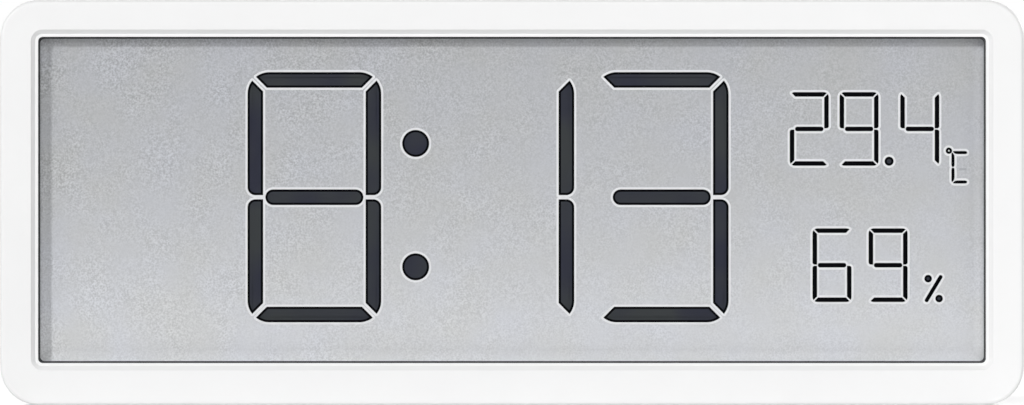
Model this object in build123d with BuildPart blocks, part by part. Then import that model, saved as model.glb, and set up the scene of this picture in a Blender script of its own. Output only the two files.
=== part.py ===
"""Slim clock that also shows temperature and humidity on one wide liquid crystal display.

The clock stands on its flat bottom edge, hangs from a keyhole in its back, or leans on a fold-out leg. Two
coin cells sit behind a sliding door, and three buttons in the back set it.

Its face looks along -Y, +X is to the viewer's right and +Z is up. The origin is the middle of the case's
bottom. Sizes are in millimetres. A depth is measured from the front face towards the back, and a place on
the face is written as (x, z).
"""

import os
from math import atan2, cos, degrees, hypot, radians, sin

from build123d import *

os.makedirs("parts", exist_ok=True)

# Shared by the whole clock
cut_overrun = 1.0  # how far a cut runs past the face it opens
pin_fit = 0.02  # radial gap where a screw or pin is held fast
turning_fit = 0.05  # radial gap where a piece turns or slides on another

# Case
case_width = 155.0
case_height = 61.3
case_corner_radius = 5.8
case_wall = 1.6
rear_wall = 1.4
front_edge_radius = 0.6
rear_edge_radius = 1.4
rim_chamfer = 0.2  # round the openings in the back
seam_chamfer = 0.2
tongue_thickness = 0.75
tongue_clearance = 0.1

# Display opening in the front frame
frame_top = 5.56
frame_bottom = 6.34
opening_corner_radius = 0.7
ledge_width = 0.45
ledge_depth = 0.65
bevel_angle = 45.0
lip_thickness = 0.6
rebate_depth = 0.5

# Window and its gasket
gasket_thickness = 0.2
gasket_reveal = 0.3  # how far the gasket shows inside the opening
window_thickness = 0.8
window_overlap = 0.8
window_clearance = 0.15
window_air_gap = 0.1

# Liquid crystal cell
polarizer_thickness = 0.2
polarizer_overlap = 0.4
glass_thickness = 0.7
glass_overlap = 0.7
contact_ledge = 2.9  # how far the front glass reaches below the rear one
crystal_gap = 0.08
film_thickness = 0.05
seal_width = 0.6
reflector_thickness = 0.2

# Clock digits
clock_digit_width = 20.25
clock_digit_height = 37.9
clock_bar = 2.35
clock_digit_corner = 3.3
clock_mitre_gap = 0.8
clock_bar_gap = 0.35
clock_middle_gap = 0.65
clock_digit_rise = 0.41  # above the opening's centre
hour_digit_inset = 101.7  # insets run from the opening's right side to the figure's middle
minute_tens_inset = 72.45
minute_ones_inset = 49.05
colon_inset = 86.35
colon_radius = 2.04
colon_spacing = 18.7
colon_drop = 1.2  # the dots' middle is this far below the digits' middle

# Temperature and humidity digits
small_digit_width = 5.9
small_digit_height = 11.15
small_bar = 0.68
small_digit_corner = 0.75
small_mitre_gap = 0.22
small_bar_gap = 0.12
small_middle_gap = 0.2
temperature_rise = 10.35  # above the clock digits' middle
temperature_insets = (26.7, 19.15, 9.95)
point_inset = 14.6
point_radius = 0.68
humidity_drop = 10.3  # below the clock digits' middle
humidity_insets = (23.25, 14.75)

# Unit marks beside the small digits
degree_inset = 5.55
degree_drop = 3.25  # drops run from the small digits' middle to the mark's
degree_radius = 0.55
degree_hole_radius = 0.2
celsius_inset = 3.9
celsius_drop = 5.75
celsius_width = 2.5
celsius_height = 4.8
celsius_bar = 0.34
celsius_corner = 0.3
celsius_gap = 0.1
percent_inset = 7.85
percent_drop = 3.55
percent_dot_radius = 0.55
percent_dot_spread = (1.6, 3.05)  # between the two dots' centres, across and up
percent_bar = 0.6
percent_bar_spread = (1.65, 3.4)  # between the stroke's two end centres

# Display carrier and the rubber connector in it
carrier_thickness = 0.8
carrier_clearance = 0.15
carrier_window_inset = 11.0
carrier_rib = 6.0
carrier_corner_radius = 2.0
connector_inset = 13.45  # from the glass's ends
connector_width = 1.8
connector_clearance = 0.1
stake_radius = 0.75
stake_head_radius = 1.2
stake_head_thickness = 0.35
stake_inset_x = 4.6  # from the board's sides
stake_inset_z = 5.0  # from the board's top and bottom edges

# Circuit board and what is on it
board_thickness = 1.0
board_gap = 0.6
board_corner_radius = 1.0
chip_x = -8.0
chip_drop = 3.65  # below the case's middle
chip_size = 9.0
chip_height = 1.2
chip_corner_radius = 0.3
chip_chamfer = 0.15
lead_count = 8
lead_spacing = 0.9
lead_width = 0.35
lead_length = 1.0
lead_thickness = 0.2
crystal_inset = 39.6  # from the board's left side
crystal_z = 22.0
crystal_can_radius = 1.0
crystal_can_length = 6.0
crystal_end_radius = 0.3
crystal_lead = 0.25
crystal_lead_length = 1.2
capacitor_length = 1.6
capacitor_width = 0.8
capacitor_height = 0.8
capacitor_columns = 4
capacitor_rows = 2
capacitor_spacing_x = 4.0
capacitor_spacing_z = 3.0
capacitor_x = 5.0
capacitor_z = 14.0
sensor_inset = 22.5  # from the case's left side
sensor_z = 14.0
sensor_size = 2.5
sensor_corner_radius = 0.2
sensor_height = 0.9
sensor_port_radius = 0.4
sensor_port_depth = 0.3
collar_gap = 0.5
collar_wall = 1.5

# Air slots in the back over the sensor
vent_count = 6
vent_spacing = 2.6
vent_width = 1.2
vent_length = 8.0

# Buttons and the switches under them, named from -X to +X
button_names = ("down", "up", "mode")
button_count = len(button_names)
button_spacing = 12.0
button_inset = 27.5  # from the case's left side to the middle button
button_rise = 3.35  # above the case's middle
button_radius = 2.6
button_clearance = 0.15
button_flange_radius = 3.4
button_flange = 0.8
button_stem_radius = 1.6
button_recess = 0.1  # how far the cap stays in front of the back face
button_edge_radius = 0.5
button_travel = 0.3
dish_depth = 0.4
dish_margin = 1.6
switch_size = 6.0
switch_corner_radius = 0.4
switch_height = 1.7
plunger_radius = 1.2
plunger_rise = 0.37
plunger_depth = 0.9
plunger_end_gap = 0.1  # left under the pressed plunger
mark_size = 0.9  # the marks over the buttons: down, up and a ring
mark_line = 0.35
mark_depth = 0.2
mark_gap = 1.0  # from the dish to the marks

# Coin cells and their contacts
cell_radius = 10.0
cell_height = 3.2
cell_cap_radius = 8.7
cell_cap_rise = 0.5
cell_edge_radius = 0.3
cell_spacing = 21.2
battery_inset = 26.0  # from the case's right side to the well's middle
well_clearance = 0.3
well_wall = 1.4
well_gap = 0.1
contact_thickness = 0.2
contact_bump = 0.15
contact_bump_radius = 1.5
contact_width = 4.0
contact_gap = 0.1
contact_tail = 3.5
leaf_height = 2.4
leaf_gap = 0.05

# Sliding battery door
door_cell_gap = 0.12
door_thickness = 1.3
door_height = 24.0
door_flange = 0.9
door_flange_thickness = 0.6
door_slide_gap = 0.05
door_end_gap = 0.15
door_end_margin = 1.4  # how far the door reaches past the well's left end
grip_count = 4
grip_spacing = 2.0
grip_width = 0.8
grip_length = 12.0
grip_depth = 0.35
grip_inset = 5.0  # from the rounded edge to the grooves, and from these to the arrow
arrow_size = 2.2
door_chamfer = 0.2

# Fold-out leg and its hinge
leg_well_gap = 2.6  # between the hinge's ears and the battery well
leg_thickness = 1.6
leg_recess = 0.2
leg_bottom = 2.6
leg_corner_radius = 4.0
leg_chamfer = 0.25
leg_side_gap = 0.25
leg_floor_gap = 0.2
leg_open_angle = 35.0
hinge_drop = 17.8  # below the case's top
barrel_radius = 1.5
barrel_gap = 0.3
pin_radius = 0.75
ear_thickness = 1.8
heel_height = 2.1
heel_width = 12.0
heel_back = 0.6
heel_gap = 0.03
tub_wall = 0.9
foot_inset = 2.0  # past the leg's rounded corners
foot_height = 2.2
foot_edge_radius = 0.4
scoop_radius = 5.0
scoop_z = 10.0
leg_groove_count = 3
leg_groove_spacing = 1.8
leg_groove_width = 0.8
leg_groove_inset = 3.0  # from the foot's ends
leg_groove_depth = 0.3
leg_groove_z = 8.0

# Keyhole for a wall hook
keyhole_drop = 10.3  # below the case's top
keyhole_radius = 3.4
keyhole_slot_radius = 1.7
keyhole_rise = 4.2

# Magnets behind the back wall
magnet_radius = 5.0
magnet_thickness = 1.8
magnet_x = 20.0
magnet_drop = 6.3  # below the cavity's top wall
magnet_ring_wall = 0.9
magnet_ring_height = 1.3
magnet_clearance = 0.1
magnet_chamfer = 0.2

# Case screws
screw_radius = 0.7
screw_hole_radius = 0.8
screw_head_radius = 1.2
screw_head_height = 0.9
screw_head_edge = 0.25  # how far the head is rounded
screw_head_clearance = 0.2
screw_bite = 2.2
screw_pilot_end = 0.2  # free hole past the screw's tip
screw_seat = 1.2
screw_cross_length = 1.5
screw_cross_width = 0.35
screw_cross_depth = 0.5
screw_inset = 3.0  # from the case's sides
screw_end_inset = 9.0  # from the case's top and bottom
boss_radius = 1.7
boss_clearance = 0.1
post_radius = 2.3

# Depths that the stack of pieces gives, from the front face back
lip_back = ledge_depth + lip_thickness
front_wall = lip_back + rebate_depth
gasket_back = lip_back + gasket_thickness
window_back = gasket_back + window_thickness
polarizer_front = window_back + window_air_gap
front_glass_front = polarizer_front + polarizer_thickness
crystal_front = front_glass_front + glass_thickness
crystal_back = crystal_front + crystal_gap
rear_glass_back = crystal_back + glass_thickness
carrier_front = rear_glass_back + reflector_thickness
carrier_back = carrier_front + carrier_thickness
board_back = carrier_back + board_thickness
cell_front = board_back + contact_thickness + contact_bump
cell_back = cell_front + cell_height
door_front = cell_back + door_cell_gap
case_depth = door_front + door_thickness
inner_back = case_depth - rear_wall
parting_depth = carrier_front
tongue_length = carrier_thickness - tongue_clearance
well_floor_front = carrier_back + well_gap
groove_floor = door_front - door_slide_gap
groove_back = door_front + door_flange_thickness + door_slide_gap
leg_back = case_depth - leg_recess
leg_front = leg_back - leg_thickness
pocket_floor = leg_front - leg_floor_gap
hinge_depth = leg_back - barrel_radius
trough_floor = hinge_depth - barrel_radius - barrel_gap
plunger_back = board_back + switch_height + plunger_rise
screw_floor = carrier_back + screw_seat

# Outlines and places that follow from the sizes
case_centre = (0, case_height / 2)
cavity_width = case_width - 2 * case_wall
cavity_height = case_height - 2 * case_wall
cavity_corner_radius = case_corner_radius - case_wall
frame_side = screw_inset + boss_radius + boss_clearance + window_clearance + window_overlap
opening_width = case_width - 2 * frame_side
opening_height = case_height - frame_top - frame_bottom
opening_right = opening_width / 2
opening_z = frame_bottom + opening_height / 2
opening_centre = (0, opening_z)
window_width = opening_width + 2 * window_overlap
window_height = opening_height + 2 * window_overlap
glass_width = opening_width + 2 * glass_overlap
glass_height = opening_height + 2 * glass_overlap
glass_bottom = opening_z - glass_height / 2
connector_z = glass_bottom - contact_ledge / 2
connector_length = glass_width - 2 * connector_inset
screw_x = case_width / 2 - screw_inset
screw_places = [
    (x, z) for x in (-screw_x, screw_x) for z in (screw_end_inset, case_height - screw_end_inset)
]
board_width = 2 * (screw_x - post_radius - board_gap)
board_height = cavity_height - 2 * board_gap
stake_x = board_width / 2 - stake_inset_x
stake_rise = board_height / 2 - stake_inset_z
stake_places = [
    (x, z)
    for x in (-stake_x, stake_x)
    for z in (case_height / 2 - stake_rise, case_height / 2 + stake_rise)
]
chip_z = case_height / 2 - chip_drop
crystal_x = crystal_inset - board_width / 2
sensor_x = sensor_inset - case_width / 2
button_middle_x = button_inset - case_width / 2
button_z = case_height / 2 + button_rise
button_places = [
    (button_middle_x + (i - (button_count - 1) / 2) * button_spacing, button_z) for i in range(button_count)
]
battery_x = case_width / 2 - battery_inset
battery_z = case_height / 2
cell_places = [(battery_x - cell_spacing / 2, battery_z), (battery_x + cell_spacing / 2, battery_z)]
well_radius = cell_radius + well_clearance
well_left = battery_x - cell_spacing / 2 - well_radius
door_left = well_left - door_end_margin
door_groove_height = door_height + 2 * (door_flange + door_slide_gap)
block_left = door_left - door_end_gap - well_wall
block_half_height = door_groove_height / 2 + well_wall
ear_half_width = block_left - leg_well_gap
pocket_half_width = ear_half_width - ear_thickness
pocket_bottom = leg_bottom - leg_side_gap
leg_width = 2 * (pocket_half_width - leg_side_gap)
foot_width = leg_width - 2 * (leg_corner_radius + foot_inset)
leg_groove_length = foot_width - 2 * leg_groove_inset
hinge_z = case_height - hinge_drop
keyhole_z = case_height - keyhole_drop
magnet_z = case_height - case_wall - magnet_drop
magnet_places = [(-magnet_x, magnet_z), (magnet_x, magnet_z)]
keyhole_centre = (0, keyhole_z)

# The heel's front corner meets the trough floor when the leg is fully open.
stop_distance = barrel_radius + barrel_gap - heel_gap
heel_front = (stop_distance - heel_height * sin(radians(leg_open_angle))) / cos(radians(leg_open_angle))
trough_top = hinge_z + hypot(max(heel_front, heel_back), heel_height) + barrel_gap


def depth_plane(depth):
    """The plane parallel to the face at a depth behind it. Its normal points at the viewer."""
    return Plane.XZ.offset(case_depth / 2 - depth)


def slab(width, height, corner, centre, front, back, mode=Mode.ADD):
    """Adds or cuts a plate with rounded corners between two depths."""
    with BuildSketch(depth_plane(front)) as outline:
        with Locations(centre):
            RectangleRounded(width, height, corner)
    extrude(to_extrude=outline.sketch, amount=front - back, mode=mode)


def bar(x_low, x_high, z_low, z_high, front, back, mode=Mode.ADD):
    """Adds or cuts a square-cornered block, given by its sides, between two depths."""
    with BuildSketch(depth_plane(front)) as outline:
        with Locations(((x_low + x_high) / 2, (z_low + z_high) / 2)):
            Rectangle(x_high - x_low, z_high - z_low)
    extrude(to_extrude=outline.sketch, amount=front - back, mode=mode)


def disc(radius, places, front, back, mode=Mode.ADD):
    """Adds or cuts one round bar at each place between two depths."""
    with BuildSketch(depth_plane(front)) as outline:
        with Locations(*places):
            Circle(radius)
    extrude(to_extrude=outline.sketch, amount=front - back, mode=mode)


def capsule(spacing, radius, centre, front, back, mode=Mode.ADD):
    """Adds or cuts a bar with round ends whose centres lie the spacing apart along X, between two depths."""
    with BuildSketch(depth_plane(front)) as outline:
        with Locations(centre):
            SlotCenterToCenter(spacing, 2 * radius)
    extrude(to_extrude=outline.sketch, amount=front - back, mode=mode)


def hinge_cylinder(radius, half_length, mode=Mode.ADD):
    """Adds or cuts a round bar along the leg's hinge line."""
    with BuildSketch(Plane.YZ) as outline:
        with Locations((hinge_depth - case_depth / 2, hinge_z)):
            Circle(radius)
    extrude(to_extrude=outline.sketch, amount=half_length, both=True, mode=mode)


def save(piece, name):
    """Labels a finished piece and writes it to its own file."""
    piece.part.label = name
    export_step(piece.part, f"parts/{name}.step")


# Front frame
with BuildPart() as front_frame:
    slab(case_width, case_height, case_corner_radius, case_centre, 0, parting_depth)
    fillet(front_frame.faces().sort_by(Axis.Y)[0].edges(), front_edge_radius)
    chamfer(front_frame.faces().sort_by(Axis.Y)[-1].edges(), seam_chamfer)
    slab(
        cavity_width, cavity_height, cavity_corner_radius, case_centre,
        front_wall, parting_depth + cut_overrun, Mode.SUBTRACT,
    )
    slab(
        opening_width, opening_height, opening_corner_radius, opening_centre,
        0, parting_depth, Mode.SUBTRACT,
    )
    slab(
        window_width + 2 * window_clearance, window_height + 2 * window_clearance,
        opening_corner_radius + window_overlap + window_clearance, opening_centre,
        lip_back, parting_depth, Mode.SUBTRACT,
    )
    with BuildSketch(depth_plane(0)) as bevel:
        with Locations(opening_centre):
            RectangleRounded(
                opening_width + 2 * (ledge_width + ledge_depth),
                opening_height + 2 * (ledge_width + ledge_depth),
                opening_corner_radius + ledge_width + ledge_depth,
            )
    extrude(to_extrude=bevel.sketch, amount=-ledge_depth, taper=bevel_angle, mode=Mode.SUBTRACT)
    with BuildSketch(depth_plane(parting_depth)) as tongue:
        with Locations(case_centre):
            RectangleRounded(
                cavity_width + 2 * tongue_thickness,
                cavity_height + 2 * tongue_thickness,
                cavity_corner_radius + tongue_thickness,
            )
            RectangleRounded(cavity_width, cavity_height, cavity_corner_radius, mode=Mode.SUBTRACT)
    extrude(to_extrude=tongue.sketch, amount=-tongue_length)
    disc(boss_radius, screw_places, front_wall, carrier_front)
    disc(
        screw_radius + pin_fit, screw_places,
        carrier_front - screw_bite - screw_pilot_end, carrier_front + cut_overrun, Mode.SUBTRACT,
    )
save(front_frame, "front_frame")

# Window and gasket
with BuildPart() as window_gasket:
    slab(
        window_width, window_height, opening_corner_radius + window_overlap, opening_centre,
        lip_back, gasket_back,
    )
    slab(
        opening_width - 2 * gasket_reveal, opening_height - 2 * gasket_reveal,
        opening_corner_radius, opening_centre, lip_back, gasket_back, Mode.SUBTRACT,
    )
save(window_gasket, "window_gasket")

with BuildPart() as display_window:
    slab(
        window_width, window_height, opening_corner_radius + window_overlap, opening_centre,
        gasket_back, window_back,
    )
save(display_window, "display_window")

# Liquid crystal cell
with BuildPart() as front_polarizer:
    slab(
        opening_width + 2 * polarizer_overlap, opening_height + 2 * polarizer_overlap,
        opening_corner_radius, opening_centre, polarizer_front, front_glass_front,
    )
save(front_polarizer, "front_polarizer")

with BuildPart() as front_glass:
    bar(
        -glass_width / 2, glass_width / 2, glass_bottom - contact_ledge, glass_bottom + glass_height,
        front_glass_front, crystal_front,
    )
save(front_glass, "front_glass")

with BuildPart() as glass_seal:
    bar(
        -glass_width / 2, glass_width / 2, glass_bottom, glass_bottom + glass_height,
        crystal_front, crystal_back,
    )
    bar(
        seal_width - glass_width / 2, glass_width / 2 - seal_width,
        glass_bottom + seal_width, glass_bottom + glass_height - seal_width,
        crystal_front, crystal_back, Mode.SUBTRACT,
    )
save(glass_seal, "glass_seal")

with BuildPart() as rear_glass:
    bar(
        -glass_width / 2, glass_width / 2, glass_bottom, glass_bottom + glass_height,
        crystal_back, rear_glass_back,
    )
save(rear_glass, "rear_glass")

with BuildPart() as reflector:
    bar(
        -glass_width / 2, glass_width / 2, glass_bottom, glass_bottom + glass_height,
        rear_glass_back, carrier_front,
    )
save(reflector, "reflector")


# Digits, as the thin electrode films that darken the crystal over them
class DigitStyle:
    """The sizes of one kind of seven-bar digit."""

    def __init__(self, width, height, stroke, corner, mitre_gap, bar_gap, middle_gap):
        self.half_width = width / 2
        self.half_height = height / 2
        self.stroke = stroke
        self.corner = corner
        self.mitre_shift = hypot(mitre_gap / 2, mitre_gap / 2)
        self.bar_gap = bar_gap
        self.half_middle_gap = middle_gap / 2


clock_style = DigitStyle(
    clock_digit_width, clock_digit_height, clock_bar, clock_digit_corner,
    clock_mitre_gap, clock_bar_gap, clock_middle_gap,
)
small_style = DigitStyle(
    small_digit_width, small_digit_height, small_bar, small_digit_corner,
    small_mitre_gap, small_bar_gap, small_middle_gap,
)
celsius_style = DigitStyle(
    celsius_width, celsius_height, celsius_bar, celsius_corner,
    celsius_gap, celsius_gap, celsius_gap,
)

# Bars are lettered clockwise from the top, and the middle one is g.
lit_bars = {
    "one": "bc",
    "two": "abged",
    "three": "abcdg",
    "four": "fgbc",
    "six": "afedcg",
    "eight": "abcdefg",
    "nine": "abcdfg",
    "celsius": "afed",
}
upright_signs = {"b": (1, 1), "c": (1, -1), "e": (-1, -1), "f": (-1, 1)}


def level_bar(style, up):
    """The top bar, or the bottom one if up is -1, mitred at both ends."""
    inner_y = style.half_height - style.stroke
    inner_x = style.half_width - style.stroke - style.mitre_shift
    outer_x = style.half_width - style.mitre_shift
    with BuildSketch() as shape:
        with BuildLine():
            Polyline(
                (-inner_x, up * inner_y),
                (inner_x, up * inner_y),
                (outer_x, up * style.half_height),
                (-outer_x, up * style.half_height),
                close=True,
            )
        make_face()
        RectangleRounded(
            2 * style.half_width, 2 * style.half_height, style.corner, mode=Mode.INTERSECT
        )
    return shape.sketch


def upright_bar(style, across, up):
    """A side bar: mitred at its outer end and rounded on the outside at its middle end."""
    inner_x = style.half_width - style.stroke
    with BuildSketch() as shape:
        with BuildLine():
            Polyline(
                (across * inner_x, up * style.half_middle_gap),
                (across * inner_x, up * (style.half_height - style.stroke - style.mitre_shift)),
                (across * style.half_width, up * (style.half_height - style.mitre_shift)),
                (across * style.half_width, up * style.half_middle_gap),
                close=True,
            )
        make_face()
        middle_end = shape.vertices().sort_by_distance(
            (across * style.half_width, up * style.half_middle_gap)
        )[0]
        fillet(middle_end, style.stroke / 2)
        RectangleRounded(
            2 * style.half_width, 2 * style.half_height, style.corner, mode=Mode.INTERSECT
        )
    return shape.sketch


def middle_bar(style):
    """The middle bar, round at both ends."""
    with BuildSketch() as shape:
        SlotOverall(2 * (style.half_width - style.stroke - style.bar_gap), style.stroke)
    return shape.sketch


def digit(figure, style, centre):
    """Adds the lit bars of one figure to the film that is being made."""
    for letter in lit_bars[figure]:
        if letter == "g":
            shape = middle_bar(style)
        elif letter in "ad":
            shape = level_bar(style, 1 if letter == "a" else -1)
        else:
            shape = upright_bar(style, *upright_signs[letter])
        with BuildSketch(depth_plane(crystal_back)) as placed:
            with Locations(centre):
                add(shape)
        extrude(to_extrude=placed.sketch, amount=film_thickness)


clock_z = opening_z + clock_digit_rise
clock_figures = [
    ("hour_digit", "eight", hour_digit_inset),
    ("minute_tens_digit", "one", minute_tens_inset),
    ("minute_ones_digit", "three", minute_ones_inset),
]
film_front = crystal_back - film_thickness
for name, figure, inset in clock_figures:
    with BuildPart() as clock_digit:
        digit(figure, clock_style, (opening_right - inset, clock_z))
    save(clock_digit, name)

with BuildPart() as colon_dots:
    colon_x = opening_right - colon_inset
    colon_z = clock_z - colon_drop
    colon_places = [(colon_x, colon_z - colon_spacing / 2), (colon_x, colon_z + colon_spacing / 2)]
    disc(colon_radius, colon_places, film_front, crystal_back)
save(colon_dots, "colon_dots")

temperature_z = clock_z + temperature_rise
with BuildPart() as temperature_digits:
    for figure, inset in zip(("two", "nine", "four"), temperature_insets):
        digit(figure, small_style, (opening_right - inset, temperature_z))
    point_z = temperature_z - small_style.half_height + point_radius
    disc(point_radius, [(opening_right - point_inset, point_z)], film_front, crystal_back)
save(temperature_digits, "temperature_digits")

with BuildPart() as temperature_unit:
    degree_places = [(opening_right - degree_inset, temperature_z - degree_drop)]
    disc(degree_radius, degree_places, film_front, crystal_back)
    disc(degree_hole_radius, degree_places, film_front, crystal_back, Mode.SUBTRACT)
    digit("celsius", celsius_style, (opening_right - celsius_inset, temperature_z - celsius_drop))
save(temperature_unit, "temperature_unit")

humidity_z = clock_z - humidity_drop
with BuildPart() as humidity_digits:
    for figure, inset in zip(("six", "nine"), humidity_insets):
        digit(figure, small_style, (opening_right - inset, humidity_z))
save(humidity_digits, "humidity_digits")

with BuildPart() as humidity_unit:
    percent_x = opening_right - percent_inset
    percent_z = humidity_z - percent_drop
    dot_x, dot_z = (spread / 2 for spread in percent_dot_spread)
    dot_places = [(percent_x - dot_x, percent_z + dot_z), (percent_x + dot_x, percent_z - dot_z)]
    disc(percent_dot_radius, dot_places, film_front, crystal_back)
    stroke_x, stroke_z = percent_bar_spread
    stroke_angle = degrees(atan2(stroke_z, stroke_x))
    with BuildSketch(depth_plane(film_front)) as stroke:
        with Locations((percent_x, percent_z)):
            SlotCenterToCenter(hypot(stroke_x, stroke_z), percent_bar, rotation=stroke_angle)
    extrude(to_extrude=stroke.sketch, amount=-film_thickness)
save(humidity_unit, "humidity_unit")

# Rubber connector from the glass's contact ledge to the board
with BuildPart() as elastomer_connector:
    bar(
        -connector_length / 2, connector_length / 2,
        connector_z - connector_width / 2, connector_z + connector_width / 2,
        crystal_front, carrier_back,
    )
save(elastomer_connector, "elastomer_connector")

# Display carrier
with BuildPart() as display_carrier:
    slab(
        cavity_width - 2 * carrier_clearance, cavity_height - 2 * carrier_clearance,
        cavity_corner_radius - carrier_clearance, case_centre, carrier_front, carrier_back,
    )
    window_right = cavity_width / 2 - carrier_window_inset
    carrier_window_width = window_right - carrier_rib / 2
    for side in (-1, 1):
        slab(
            carrier_window_width, cavity_height - 2 * carrier_window_inset, carrier_corner_radius,
            (side * (window_right - carrier_window_width / 2), case_height / 2),
            carrier_front, carrier_back, Mode.SUBTRACT,
        )
    slot_half_length = connector_length / 2 + connector_clearance
    slot_half_width = connector_width / 2 + connector_clearance
    bar(
        -slot_half_length, slot_half_length, connector_z - slot_half_width, connector_z + slot_half_width,
        carrier_front, carrier_back, Mode.SUBTRACT,
    )
    disc(screw_hole_radius, screw_places, carrier_front, carrier_back, Mode.SUBTRACT)
    stake_back = board_back + stake_head_thickness
    disc(stake_radius, stake_places, carrier_back, stake_back)
    disc(stake_head_radius, stake_places, board_back, stake_back)
save(display_carrier, "display_carrier")

# Circuit board, cut out round the battery well
with BuildPart() as circuit_board:
    slab(
        board_width, board_height, board_corner_radius, case_centre,
        carrier_back, board_back,
    )
    bar(
        block_left - board_gap, case_width / 2,
        battery_z - block_half_height - board_gap, battery_z + block_half_height + board_gap,
        carrier_back, board_back, Mode.SUBTRACT,
    )
    disc(stake_radius + pin_fit, stake_places, carrier_back, board_back, Mode.SUBTRACT)
save(circuit_board, "circuit_board")

with BuildPart() as controller_chip:
    chip_place = (chip_x, chip_z)
    slab(
        chip_size, chip_size, chip_corner_radius, chip_place,
        board_back + lead_thickness / 2, board_back + chip_height,
    )
    chamfer(controller_chip.faces().sort_by(Axis.Y)[-1].edges(), chip_chamfer)
    with BuildSketch(depth_plane(board_back)) as leads:
        with Locations(chip_place):
            with GridLocations(lead_spacing, 0, lead_count, 1):
                Rectangle(lead_width, chip_size + 2 * lead_length)
            with GridLocations(0, lead_spacing, 1, lead_count):
                Rectangle(chip_size + 2 * lead_length, lead_width)
            Rectangle(chip_size, chip_size, mode=Mode.SUBTRACT)
            RectangleRounded(chip_size, chip_size, chip_corner_radius)
    extrude(to_extrude=leads.sketch, amount=-lead_thickness)
save(controller_chip, "controller_chip")

with BuildPart() as quartz_crystal:
    can_centre_depth = board_back + crystal_can_radius
    can_end = crystal_x + crystal_can_length / 2
    with BuildSketch(Plane.YZ.offset(can_end)) as can:
        with Locations((can_centre_depth - case_depth / 2, crystal_z)):
            Circle(crystal_can_radius)
    extrude(to_extrude=can.sketch, amount=-crystal_can_length)
    fillet(quartz_crystal.faces().sort_by(Axis.X)[0].edges(), crystal_end_radius)
    for side in (-1, 1):
        lead_z = crystal_z + side * crystal_can_radius / 2
        lead_low = lead_z - crystal_lead / 2
        lead_high = lead_z + crystal_lead / 2
        lead_end = can_end + crystal_lead_length
        bar(can_end, lead_end, lead_low, lead_high, can_centre_depth, can_centre_depth + crystal_lead)
        bar(
            lead_end - crystal_lead, lead_end, lead_low, lead_high,
            board_back, can_centre_depth + crystal_lead,
        )
save(quartz_crystal, "quartz_crystal")

with BuildPart() as board_capacitors:
    with BuildSketch(depth_plane(board_back)) as capacitors:
        with Locations((capacitor_x, capacitor_z)):
            with GridLocations(capacitor_spacing_x, capacitor_spacing_z, capacitor_columns, capacitor_rows):
                Rectangle(capacitor_length, capacitor_width)
    extrude(to_extrude=capacitors.sketch, amount=-capacitor_height)
save(board_capacitors, "board_capacitors")

with BuildPart() as humidity_sensor:
    sensor_back = board_back + sensor_height
    slab(
        sensor_size, sensor_size, sensor_corner_radius, (sensor_x, sensor_z), board_back, sensor_back
    )
    disc(
        sensor_port_radius, [(sensor_x, sensor_z)], sensor_back - sensor_port_depth, sensor_back,
        Mode.SUBTRACT,
    )
save(humidity_sensor, "humidity_sensor")

with BuildPart() as sensor_collar:
    collar_hole = sensor_size + 2 * collar_gap
    slab(
        collar_hole + 2 * collar_wall, collar_hole + 2 * collar_wall, collar_wall,
        (sensor_x, sensor_z), board_back, inner_back,
    )
    slab(
        collar_hole, collar_hole, collar_gap, (sensor_x, sensor_z), board_back, inner_back, Mode.SUBTRACT
    )
save(sensor_collar, "sensor_collar")

# Buttons, each with the switch body and plunger under it
switch_back = board_back + switch_height
plunger_front = switch_back - plunger_depth
flange_back = inner_back - turning_fit
flange_front = flange_back - button_flange
button_back = case_depth - button_recess
for name, place in zip(button_names, button_places):
    with BuildPart() as switch_body:
        slab(switch_size, switch_size, switch_corner_radius, place, board_back, switch_back)
        disc(
            plunger_radius + turning_fit, [place],
            plunger_front - button_travel - plunger_end_gap, switch_back, Mode.SUBTRACT,
        )
    save(switch_body, f"{name}_switch")
    with BuildPart() as plunger:
        disc(plunger_radius, [place], plunger_front, plunger_back)
    save(plunger, f"{name}_plunger")
    with BuildPart() as button:
        disc(button_radius, [place], flange_front, button_back)
        fillet(button.faces().sort_by(Axis.Y)[-1].edges(), button_edge_radius)
        disc(button_flange_radius, [place], flange_front, flange_back)
        disc(button_stem_radius, [place], plunger_back, flange_front)
    save(button, f"{name}_button")

# Coin cells, with the narrower negative cap towards the front
for name, place in zip(("coin_cell_left", "coin_cell_right"), cell_places):
    with BuildPart() as coin_cell:
        disc(cell_radius, [place], cell_front + cell_cap_rise, cell_back)
        fillet(coin_cell.edges().filter_by(GeomType.CIRCLE), cell_edge_radius)
        disc(cell_cap_radius, [place], cell_front, cell_front + cell_cap_rise)
    save(coin_cell, name)

# Cell contacts: a bump under each cell and one leaf that touches both cells' sides
contact_back = board_back + contact_thickness
contact_half_width = contact_width / 2
tail_bottom = battery_z - block_half_height - board_gap - contact_tail
tail_top = battery_z + block_half_height + board_gap + contact_tail
for name, place in zip(("negative_contact_left", "negative_contact_right"), cell_places):
    with BuildPart() as negative_contact:
        bar(
            place[0] - contact_half_width, place[0] + contact_half_width,
            tail_bottom, battery_z + contact_half_width, board_back, contact_back,
        )
        disc(contact_bump_radius, [place], contact_back, cell_front)
    save(negative_contact, name)

with BuildPart() as positive_contact:
    leaf_bottom = battery_z + cell_radius + leaf_gap
    leaf_top = leaf_bottom + contact_thickness
    bar(
        battery_x - cell_spacing / 2, battery_x + cell_spacing / 2, leaf_bottom, leaf_top,
        cell_front, cell_front + leaf_height,
    )
    bar(
        battery_x - contact_half_width, battery_x + contact_half_width, leaf_bottom, leaf_top,
        board_back, cell_front,
    )
    bar(
        battery_x - contact_half_width, battery_x + contact_half_width, leaf_bottom, tail_top,
        board_back, contact_back,
    )
save(positive_contact, "positive_contact")

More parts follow.
